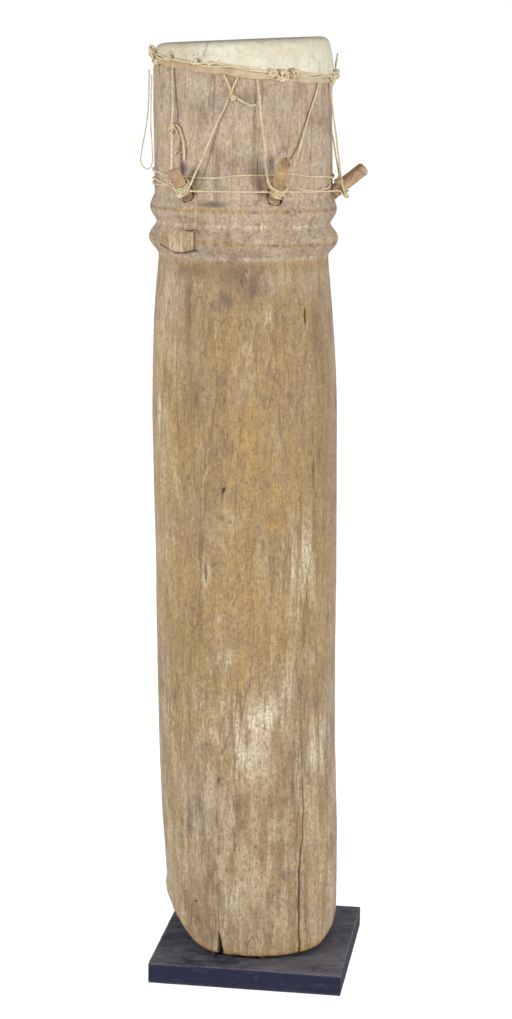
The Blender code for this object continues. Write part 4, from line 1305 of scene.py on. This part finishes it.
    def twisted(
        self, name: str, pts: list[Vector], radius: float, closed: bool = False, seed: int = 0, pitch: float = 0.0085
    ) -> Mesh:
        """Two plies laid round one another along a route.

        Args:
            name: the piece's name.
            pts: the route's points.
            radius: radius of the whole cord.
            closed: whether the route is a ring.
            seed: start of the twist.
            pitch: length of one full turn.

        Returns:
            The cord as one mesh of two closed strands.
        """
        co = np.array([tuple(p) for p in self.even(pts, 0.00115, closed)])
        n = len(co)
        if closed:
            way = np.roll(co, -1, axis=0) - np.roll(co, 1, axis=0)
            turns = max(1, round(n * np.linalg.norm(co[1] - co[0]) / pitch))
            angle = 2 * math.pi * turns * np.arange(n) / n
        else:
            way = np.gradient(co, axis=0)
            run = np.concatenate([[0], np.cumsum(np.linalg.norm(np.diff(co, axis=0), axis=1))])
            angle = 2 * math.pi * run / pitch + seed
        way = way / np.linalg.norm(way, axis=1)[:, None]
        side = np.cross(way, np.array([0.13, 0.21, 0.97]))
        side = side / np.linalg.norm(side, axis=1)[:, None]
        up = np.cross(side, way)
        plies = []
        for phase in (0.0, math.pi):
            a, off = angle + phase, radius * 0.44
            p = co + side * (off * np.cos(a))[:, None] + up * (off * np.sin(a))[:, None]
            plies.append([Vector(tuple(q)) for q in p])
        return self.to_mesh(self.curve(name, plies, radius * 0.56, closed), name)

    def to_mesh(self, obj: Mesh, name: str) -> Mesh:
        """Turn a curve into a finished mesh."""
        take(obj)
        bpy.ops.object.convert(target="MESH")
        self.made.append(settle(bpy.context.object, name))
        return self.made[-1]

    def drape(self, a: Vector, b: Vector, count: int, lift: float) -> list[Vector]:
        """A taut line from a to b, lifted where the barrel is in the way."""
        out = []
        for i in range(count):
            p = a.lerp(b, i / (count - 1))
            mid = self.form.axis_point(p.z)
            flat = Vector((p.x - mid.x, p.y - mid.y, 0.0))
            bearing = math.degrees(math.atan2(flat.x, -flat.y))
            near = [float(self.form.outside(self.form.level_of(p.z + s, bearing))) for s in (-0.009, 0.0, 0.009)]
            if flat.length < lift + max(near):
                flat = flat.normalized() * (lift + max(near))
            out.append(Vector((mid.x, mid.y, p.z)) + flat)
        return out

    def build_laces(self) -> None:
        """Two laces from the head to every peg."""
        lift = self.radius + GAP
        for k, (bearing, _rise, _out, fat, reach) in enumerate(self.pegs.rows):
            mouth, way, side, up = self.pegs.line(self.form, k)
            for n, off in enumerate(self.lace_offs):
                top_b = bearing + off
                top = self.form.on_barrel(top_b, float(self.head.hem(top_b)) - 0.0006 - self.radius, lift)
                hold, left = (reach, 1.0) if n == 0 else (reach - 0.0055, -1.0)
                end = mouth + way * hold + side * left * (fat + 3 * self.radius + GAP * 2 + 0.0006)
                number = 2 * k + n + 1
                pts = self.drape(top, end, 12, lift)
                route = [pts[0] + UP * 0.006]
                for i, p in enumerate(pts):
                    mid = self.form.axis_point(p.z)
                    out = Vector((p.x - mid.x, p.y - mid.y, 0.0)).normalized()
                    sway = math.sin(i * 1.1 + number) * 0.0007 + math.sin(i * 2.3 + 2 * number) * 0.0003
                    route.append(p + out.cross(UP) * sway * math.sin(math.pi * i / (len(pts) - 1)))
                turn = mouth + way * (hold - 0.003) + side * left * (fat + 1.3 * self.radius)
                route.append(turn - up * 0.005)
                lace = self.twisted(f"lace_cord_{number}", route, self.radius, seed=number)
                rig.replaces(lace, f"lace_{number}")
                if n == 0:
                    again = [q + side * 0.0014 * math.sin(i * 0.9) for i, q in enumerate(route[-5:])]
                    again.append(mouth + way * (hold - 0.006) - up * (fat + 1.2 * self.radius))
                    self.twisted(f"lace_turn_{number}", again, self.radius * 0.85, seed=number)

    def build_belts(self) -> None:
        """The upper belt behind the pegs and the lower one round them."""
        lift = self.radius + GAP + 0.0001
        pts = []
        for i in range(96):
            b = 360.0 * i / 96
            z = self.belt_up + 0.003 * math.sin(math.radians(3 * b)) + 0.0007 * math.sin(math.radians(11 * b + 20))
            pts.append(self.form.on_barrel(b, z, lift))
        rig.replaces(self.twisted("belt_cord_upper", pts, self.radius, True), "belt_upper")
        pts = []
        for k, (_bearing, _rise, _out, fat, _hold) in enumerate(self.pegs.rows):
            mouth, way, side, up = self.pegs.line(self.form, k)
            ring = fat + self.radius + GAP * 1.5
            turns = []
            for t in (20.0, 55.0, 90.0, 125.0, 160.0):
                a = math.radians(t)
                turns.append(mouth + way * 0.0105 + side * ring * math.cos(a) - up * ring * math.sin(a))
            if pts:
                pts += self.drape(pts[-1], turns[0], 8, lift)[1:-1]
            pts += turns
        stops = [pts[-1], *(self.form.on_barrel(b, z, lift) for b, z in self.loose), pts[0]]
        for a, b in zip(stops, stops[1:]):
            pts += self.drape(a, b, 7, lift)[1:]
        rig.replaces(self.twisted("belt_cord_lower", pts[:-1], self.radius, True), "belt_lower")
        for number, (a_b, a_z, b_b, b_z) in enumerate(self.second_belts):
            route = []
            for i in range(12):
                t = i / 11
                z = a_z + (b_z - a_z) * t - 0.0045 * math.sin(math.pi * t) + 0.0006 * math.sin(i * 1.9)
                route.append(self.form.on_barrel(a_b + (b_b - a_b) * t, z, lift))
            self.twisted(f"belt_second_{number + 1}", route, self.radius * 0.9, seed=number)

    def build_wraps(self) -> None:
        """Loose turns of cord round every peg, low on its side."""
        for k, (_bearing, _rise, _out, fat, _hold) in enumerate(self.pegs.rows):
            mouth, way, side, up = self.pegs.line(self.form, k)
            pts = []
            for i in range(66):
                turn = (3.4 if k == 0 else 2.6) * i / 65
                t = 2 * math.pi * turn
                along = 0.0128 + 0.0026 * turn + 0.0009 * math.sin(t + 1.3 * k) + 0.0005 * math.sin(2.3 * t)
                ring = fat + self.radius * (1.02 + 0.18 * math.sin(1.7 * t + k)) + GAP
                pts.append(mouth + way * along + side * ring * math.cos(t) + up * ring * math.sin(t))
            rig.replaces(self.twisted(f"wrap_{k + 1}", pts, self.radius, seed=k), f"peg_wrap_{k + 1}")
            big = k == 1
            centre = mouth + way * 0.0125 - up * (fat + 0.0030) + side * (0.002 if big else -0.002)
            self.lump(f"peg_knot_{k + 1}", centre, (side, up, way), 0.0062 if big else 0.0050, 40 + k, 0.0011)

    def lump(
        self, name: str, centre: Vector, frame: tuple[Vector, ...], size: float, seed: int, thick: float
    ) -> None:
        """A knot: a strand that crosses itself, with frayed ends.

        Args:
            name: the piece's name.
            centre: its middle.
            frame: its side, up and outward directions.
            size: half its width.
            seed: start of its random numbers.
            thick: the strand's radius.
        """
        rng = np.random.default_rng(200 + seed)
        side, up, way = frame
        lines = []
        for loop, wide in enumerate((1.0, 0.8, 0.65)):
            pts = []
            turn = rng.uniform(0, 6.28)
            for i in range(26):
                t = 2 * math.pi * i / 26
                r = 0.62 + 0.30 * math.cos(3 * t + turn)
                flat = side * (size * r * math.cos(2 * t + turn) * wide)
                flat = flat + up * (size * 0.85 * r * math.sin(2 * t + turn))
                pts.append(centre + flat + way * (size * (0.34 * math.sin(3 * t + turn) + 0.10 * (loop - 1))))
            lines.append(self.even(pts, 0.0012, True))
        self.to_mesh(self.curve(name, lines, min(thick, size * 0.26), True), name)
        ends = []
        for _ in range(4):
            a = rng.uniform(0, 2 * math.pi)
            long = size * rng.uniform(1.0, 1.6)
            lift = way * (size * rng.uniform(-0.1, 0.4))
            tip = centre + side * (math.cos(a) * long) + up * (math.sin(a) * long) + lift
            ends.append(self.even([centre, centre.lerp(tip, 0.6) + way * size * 0.25, tip], 0.0012))
        self.to_mesh(self.curve(f"{name}_ends", ends, 0.00045, False), f"{name}_ends")

    def build_binding(self) -> None:
        """Cord round the head, in two loose lines, with knots."""
        lines = []
        for phase, gain in ((0.0, 1.0), (2.1, -1.0)):
            pts = []
            for i in range(120):
                b = -180.0 + 3.0 * i
                sway = 0.0016 * math.sin(math.radians(5 * b) + phase)
                z = float(self.head.bind(b)) + sway + 0.0009 * math.sin(math.radians(11 * b + 40) + phase)
                r = float(self.head.radius(z, b)) + 0.0016 + 0.0006 * math.cos(math.radians(9 * b)) * gain
                pts.append(self.form.axis_point(z) + facing(b) * r)
            lines.append(self.even(pts, 0.002, True))
        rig.replaces(self.to_mesh(self.curve("binding_lines", lines, 0.0011, True), "binding_lines"), "binding_cord")
        for number, (b, size, lift) in enumerate(self.knots):
            self.knot(f"knot_{number + 1}", b, float(self.head.bind(b)) + lift, size, number)

    def knot(self, name: str, bearing: float, z: float, size: float, seed: int, out: float = 0.5) -> None:
        """A knot that lies on the head or the barrel."""
        way = facing(bearing)
        centre = self.form.axis_point(z) + way * (float(self.head.radius(z, bearing)) + size * out)
        self.lump(name, centre, (UP.cross(way), UP, way), size, seed, 0.0012)

    def build_strands(self) -> None:
        """Small bow on the first lace, the tail of the second lace's knot and loose ends."""
        for name, thick, rows in self.strands:
            route = [self.form.on_barrel(b, z, self.radius + GAP * 2 + out) for b, z, out in rows]
            obj = self.twisted(name, route, self.radius * thick)
            if name == "bow_cord":
                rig.replaces(obj, "lace_bow")
            if name == "tail_cord":
                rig.replaces(obj, "lace_tail")
        self.knot("bow_knot", -39.0, 1.0925, 0.0036, 71, 0.62)
        self.knot("tail_knot", 2.8, 1.1285, 0.0034, 72, 0.62)

    def build_loop(self) -> None:
        """Thin cord end that hangs free as a loop at the left."""
        route = [self.form.on_barrel(self.loop_bearing + off, z, out) for off, out, z in self.loop]
        pts = self.even(route, 0.0052)
        obj = self.curve("hanging_loop", [pts], self.loop_radius, False, 2)
        length = sum((b - a).length for a, b in zip(pts, pts[1:]))
        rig.cord(obj, tuple(pts[0]), length, 2 * self.loop_radius, "object", "limp", "hanging")
        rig.replaces(obj, "slack_loop")
        self.made.append(obj)
        LOG.info("hanging loop %.3f m of %d points", length, len(pts))

    def build(self) -> list[Mesh]:
        """Make every cord."""
        self.build_loop()
        self.build_laces()
        self.build_belts()
        self.build_wraps()
        self.build_binding()
        self.build_strands()
        return self.made


@dataclass
class PegTip:
    """How a peg ends: rounding, dome, slanted cut, ragged crown, bark."""

    round_off: float
    dome: float
    slant: float
    ragged: float
    bark: float


@dataclass
class WhittledPegs:
    """Pegs cut with a knife, each with its own tip."""

    form: DrumForm
    sizes: PegSizes
    reach: tuple[float, float] = (-0.1262, 0.1391)
    tips: tuple[PegTip, ...] = (
        PegTip(0.0016, 0.0004, 0.42, 0.0, 0.35),
        PegTip(0.0016, 0.0004, 0.06, 0.0034, 0.02),
        PegTip(0.0055, 0.0020, 0.0, 0.0, 0.90),
        PegTip(0.0024, 0.0006, -0.20, 0.0, 0.30),
        PegTip(0.0040, 0.0014, 0.10, 0.0010, 0.50),
    )

    def build(self) -> list[Mesh]:
        """Make the pegs."""
        return [self.one(k) for k in range(len(self.sizes.rows))]

    def blank(self) -> Mesh:
        """A finely divided cylinder, 1 m long and 1 m in radius."""
        deselect()
        bpy.ops.mesh.primitive_cylinder_add(vertices=48, radius=1.0, depth=1.0, end_fill_type="NGON")
        obj = bpy.context.object
        divide(obj, 60, lambda run: abs(run.z) > 0.5)
        bpy.ops.mesh.select_mode(type="FACE")
        mode("EDIT", "DESELECT")
        mode("OBJECT")
        for face in obj.data.polygons:
            face.select = abs(face.normal.z) > 0.9
        mode("EDIT")
        for scale in (0.86, 0.8, 0.75, 0.66, 0.5, 0.4):
            bpy.ops.mesh.inset(thickness=0.0, depth=0.0)
            bpy.ops.transform.resize(value=(scale, scale, 1.0), center_override=(0, 0, 0))
        mode("OBJECT")
        return obj

    def one(self, k: int) -> Mesh:
        """One peg from a cylinder, faceted along its length.

        Args:
            k: number of the peg, from 0.

        Returns:
            The finished peg.
        """
        _bearing, _rise, out, fat, _hold = self.sizes.rows[k]
        tip = self.tips[k]
        socket = self.sizes.socket
        mouth, way, side, up = self.sizes.line(self.form, k)
        long = out + socket - 0.0006
        obj = self.blank()
        co = coords(obj)
        t = np.arctan2(co[:, 1], co[:, 0])
        share = np.hypot(co[:, 0], co[:, 1])
        along = (co[:, 2] + 0.5) * long
        rng = np.random.default_rng(60 + k)
        facets = int(rng.integers(7, 10))
        knife = np.full(len(t), 10.0)
        for a in np.arange(facets) * 2 * math.pi / facets + rng.uniform(-0.3, 0.3, facets):
            tilt = rng.uniform(-0.012, 0.008)
            reach = fat * rng.uniform(0.90, 0.985) + tilt * (along - long / 2) * 0.6
            c = np.cos(t - a)
            knife = np.minimum(knife, np.where(c > 0.3, reach / np.maximum(c, 0.3), 10.0))
        end = long - along
        fibres = 1.0 - 0.018 * (0.5 + 0.5 * np.sin(19 * t + 3 * np.sin(along * 90.0)))
        r = np.minimum(knife, fat) * np.where(along > socket, fibres, 1.0)
        r = r * np.sqrt(np.clip(1.0 - (clip(1.0 - end / tip.round_off) * 0.90) ** 2, 0.02, 1.0))
        rad = r * np.minimum(share, 1.0)
        top = along > long - 1e-6
        lift = np.where(top, -tip.dome * share**2, 0.0)
        lift = lift - (tip.slant * rad * np.cos(t - 1.0) + abs(tip.slant) * fat) * clip(1 - end / 0.014)
        crown = 0.5 + 0.5 * np.cos(7 * t + 1.0) * np.cos(3 * t) + 0.35 * np.sin(13 * t) * share
        lift = lift - tip.ragged * crown * clip(1 - end / 0.009) * (0.3 + share)
        rad = np.minimum(rad * (1 + tip.ragged * 14.0 * clip(1 - end / 0.007)), fat)
        along = np.minimum(along + lift, long)
        # Painted shade where the peg leaves its socket.
        socket_and_dent_shade = bell(along - socket - 0.001, 0.003) * 0.9
        bark = tip.bark * (0.55 + 0.45 * np.sin(5 * t + 40 * along))
        if k == 0:
            dent = bell(along - 0.034, 0.0035) * clip(np.cos(t - 0.4)) ** 3
            rad = rad - 0.0022 * dent * np.minimum(share, 1.0)
            # Painted shade in the dent.
            socket_and_dent_shade = np.maximum(socket_and_dent_shade, dent * 0.9)
            bark = np.maximum(bark, 0.9 * bell(end - 0.008, 0.004))
        pos = np.array(mouth - way * (socket - 0.0006))[None, :] + np.outer(along, way)
        pos = pos + np.outer(rad * np.cos(t), side) + np.outer(rad * np.sin(t), up)
        front, back = self.reach
        over = np.clip(front - pos[:, 1], 0, None) if way.y < 0 else np.clip(back - pos[:, 1], None, 0)
        set_coords(obj, pos + np.outer(over / way.y, way))
        paint(obj, "tone", np.where(top, 0.95, clip(1.0 - end / 0.0022) * 0.7), socket_and_dent_shade, bark)
        settle(obj, f"whittled_peg_{k + 1}", 35)
        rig.replaces(obj, f"peg_{k + 1}")
        LOG.info("peg %d: %d faces", k + 1, len(obj.data.polygons))
        return obj


@dataclass
class Stand:
    """Square stained plinth and the pins that hold the drum over it."""

    form: DrumForm
    side: float = 0.250
    thick: float = 0.0274
    rounding: float = 0.0022
    pin_r: float = 0.0026
    pin_socket: float = 0.018
    bearings: tuple[float, ...] = (14.0, -22.0, 134.0, 226.0)

    def build_plinth(self) -> Mesh:
        """Board with worn edges, small chips and a faintly uneven top."""
        deselect()
        bpy.ops.mesh.primitive_cube_add(size=1.0, location=(0, 0, 0))
        obj = bpy.context.object
        obj.scale = (self.side, self.side, self.thick)
        bpy.ops.object.transform_apply(scale=True)
        mode("EDIT", "SELECT")
        bpy.ops.mesh.bevel(offset=0.0011, segments=3, profile=0.5)
        divide(obj, 96, lambda run: run.length > 0.2)
        divide(obj, 8, lambda run: abs(run.z) > 0.015)
        mode("OBJECT")
        co = coords(obj)
        x, y, z = co.T.copy()
        half = self.side / 2
        near = clip((np.maximum(np.abs(x), np.abs(y)) - half + self.rounding) / self.rounding)
        edge = near * clip((np.abs(z) - self.thick / 2 + self.rounding) / self.rounding)
        angle = np.degrees(np.arctan2(y, x))
        chip = clip(wave(73, (20, 60), (5, 6), angle, z * 0, 22) - 0.95)
        pull = edge * (0.00012 * (1 + wave(71, (4, 30), (5, 6), angle, z * 0, 22)) + 0.0012 * chip)
        co[:, 0] -= np.sign(x) * pull * (np.abs(x) > half - 0.003)
        co[:, 1] -= np.sign(y) * pull * (np.abs(y) > half - 0.003)
        co[:, 2] -= np.sign(z) * pull
        co[:, :2] = np.clip(co[:, :2], 0.00003 - half, half - 0.00003)
        co[:, 2] = np.clip(co[:, 2] + self.thick / 2, 0.0, self.thick)
        set_coords(obj, co)
        paint(obj, "tone", (co[:, 2] > self.thick - 0.0008).astype(float), edge * 0.7, chip)
        settle(obj, "stained_plinth", 40)
        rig.replaces(obj, "plinth")
        return obj

    def build_pins(self) -> list[Mesh]:
        """Turned pins with softened ends."""
        made = []
        for k, bearing in enumerate(self.bearings):
            high = float(self.form.level(self.form.foot_z, bearing))
            foot = self.form.axis_point(high) + facing(bearing) * (self.form.foot_r - self.form.foot_wall / 2)
            low, top = self.thick + GAP * 0.2, high + self.pin_socket
            deselect()
            bpy.ops.mesh.primitive_cylinder_add(
                vertices=28, radius=self.pin_r, depth=top - low, location=(foot.x, foot.y, (top + low) / 2)
            )
            obj = bpy.context.object
            mode("EDIT", "SELECT")
            bpy.ops.mesh.bevel(offset=0.0003, segments=2)
            mode("OBJECT")
            settle(obj, f"mount_pin_{k + 1}", 40, False)
            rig.replaces(obj, f"pin_{k + 1}")
            made.append(obj)
        return made


@dataclass
class Studio:
    """Camera, lights, floor and white surroundings; a lamp has a name, bearing, height, size and power."""

    focal_px: float = 2314.6
    frame: tuple[int, int] = (512, 1019)
    sensor: float = 36.0
    away: float = 2.925
    azimuth: float = 7.934
    height: float = 1.1805
    pitch: float = 11.13
    roll: float = 0.84
    yaw: float = 0.21
    lamp_away: float = 2.6
    lamp_aim: float = 0.66
    ambient: float = 0.27
    lamps: tuple[tuple[str, float, float, tuple[float, float], float], ...] = (
        ("left_light", -52.0, 1.05, (0.50, 0.8), 43.0),
        ("right_light", 64.0, 0.95, (0.50, 0.8), 45.0),
        ("front_light", 4.0, 2.10, (1.2, 0.8), 17.0),
    )

    def camera(self) -> None:
        """Camera at the photograph's place and angle."""
        a, p, r = (math.radians(angle) for angle in (self.azimuth, self.pitch, self.roll))
        h = a + math.radians(self.yaw)
        ahead = Vector((-math.sin(h) * math.cos(p), math.cos(h) * math.cos(p), -math.sin(p)))
        right = Vector((math.cos(h), math.sin(h), 0.0))
        up = right.cross(ahead)
        x = right * math.cos(r) + up * math.sin(r)
        y = up * math.cos(r) - right * math.sin(r)
        data = bpy.data.cameras.new("camera")
        data.sensor_width = self.sensor
        data.lens = self.focal_px / self.frame[1] * self.sensor
        data.clip_start = 0.05
        data.clip_end = 200.0
        cam = bpy.data.objects.new("camera", data)
        turn = Matrix((x, y, -ahead)).transposed().to_4x4()
        place = Vector((self.away * math.sin(a), -self.away * math.cos(a), self.height))
        cam.matrix_world = Matrix.Translation(place) @ turn
        bpy.context.scene.collection.objects.link(cam)
        bpy.context.scene.camera = cam

    def lamp(self, name: str, bearing: float, height: float, size: tuple[float, float], power: float) -> None:
        """A soft light at a bearing round the drum, turned to face it."""
        data = bpy.data.lights.new(name, "AREA")
        data.shape = "RECTANGLE"
        data.size, data.size_y = size
        data.energy = power
        data.color = (1.0, 0.985, 0.965)
        obj = bpy.data.objects.new(name, data)
        obj.location = facing(bearing) * self.lamp_away + UP * height
        obj.rotation_euler = (UP * self.lamp_aim - obj.location).to_track_quat("-Z", "Y").to_euler()
        bpy.context.scene.collection.objects.link(obj)

    def for_camera(self, tree: bpy.types.NodeTree, socket: Socket, other: float, seen: float) -> None:
        """Give an input one value for the camera and another for all other light."""
        path = tree.nodes.new("ShaderNodeLightPath")
        span = tree.nodes.new("ShaderNodeMapRange")
        span.inputs["To Min"].default_value = other
        span.inputs["To Max"].default_value = seen
        tree.links.new(path.outputs["Is Camera Ray"], span.inputs["Value"])
        tree.links.new(span.outputs["Result"], socket)

    def surroundings(self) -> None:
        """White to the camera, dimmer as a light."""
        world = bpy.data.worlds.new("studio")
        bpy.context.scene.world = world
        world.use_nodes = True
        back = world.node_tree.nodes["Background"]
        back.inputs["Color"].default_value = (1.0, 1.0, 1.0, 1.0)
        self.for_camera(world.node_tree, back.inputs["Strength"], self.ambient, 1.0)

    def floor(self) -> Mesh:
        """Wide pale floor that melts into the background."""
        deselect()
        bpy.ops.mesh.primitive_plane_add(size=120.0, location=(0, 0, -0.0005))
        floor = bpy.context.object
        floor.name = "floor"
        n = Nodes("pale_floor")
        white = (1.0, 1.0, 1.0, 1.0)
        n.fill(n.shader, {"Roughness": 0.8, "Specular IOR Level": 0.0, "Emission Color": white})
        self.for_camera(n.tree, n.shader.inputs["Emission Strength"], 0.0, 1.0)
        self.for_camera(n.tree, n.shader.inputs["Base Color"], 0.62, 0.16)
        floor.data.materials.append(n.mat)
        return floor

    def build(self) -> None:
        """Set the studio up."""
        bpy.context.scene.view_settings.view_transform = "Standard"
        self.surroundings()
        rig.stage(self.floor())
        for row in self.lamps:
            self.lamp(*row)


def dress(objs: list[Mesh], mat: Material, slot: Slot) -> None:
    """Give pieces their finish, their slot and their body."""
    for obj in objs:
        obj.data.materials.clear()
        obj.data.materials.append(mat)
        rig.slot(obj, slot.value)
        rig.ride(obj, "root")
        if obj.type == "MESH":
            LOG.info("%s: %d faces", obj.name, len(obj.data.polygons))


def write_box(key: str) -> None:
    path = "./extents.json"
    low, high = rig.bounds()
    kept = {}
    if key != "cad":
        with open(path) as file:
            kept = json.load(file)
    kept[key] = [list(low), list(high)]
    with open(path, "w") as file:
        json.dump(kept, file)


def main() -> None:
    """Build every sub-assembly in order."""
    logging.basicConfig(level=logging.INFO, format="%(message)s")
    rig.load()
    write_box("cad")
    studio, form, sizes = Studio(), DrumForm(), PegSizes()
    studio.camera()
    head, stand = SkinHead(form), Stand(form)
    dress(Cordage(form, sizes, head).build(), Fibre().make(), Slot.CORD)
    log = CarvedLog(form, sizes).build()
    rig.replaces(log, "drum_body")
    dress([log], LogWood().make(), Slot.LOG)
    skin, ear = head.build(), head.build_flap()
    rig.replaces(skin, "drumhead")
    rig.replaces(ear, "skin_flap")
    dress([skin, ear], Rawhide().make(), Slot.SKIN)
    dress(WhittledPegs(form, sizes).build(), PegWood().make(), Slot.PEG)
    dress([stand.build_plinth()], StainedWood().make(), Slot.PLINTH)
    dress(stand.build_pins(), PinMetal().make(), Slot.PIN)
    studio.build()
    write_box("visual")


if __name__ == "__main__":
    main()
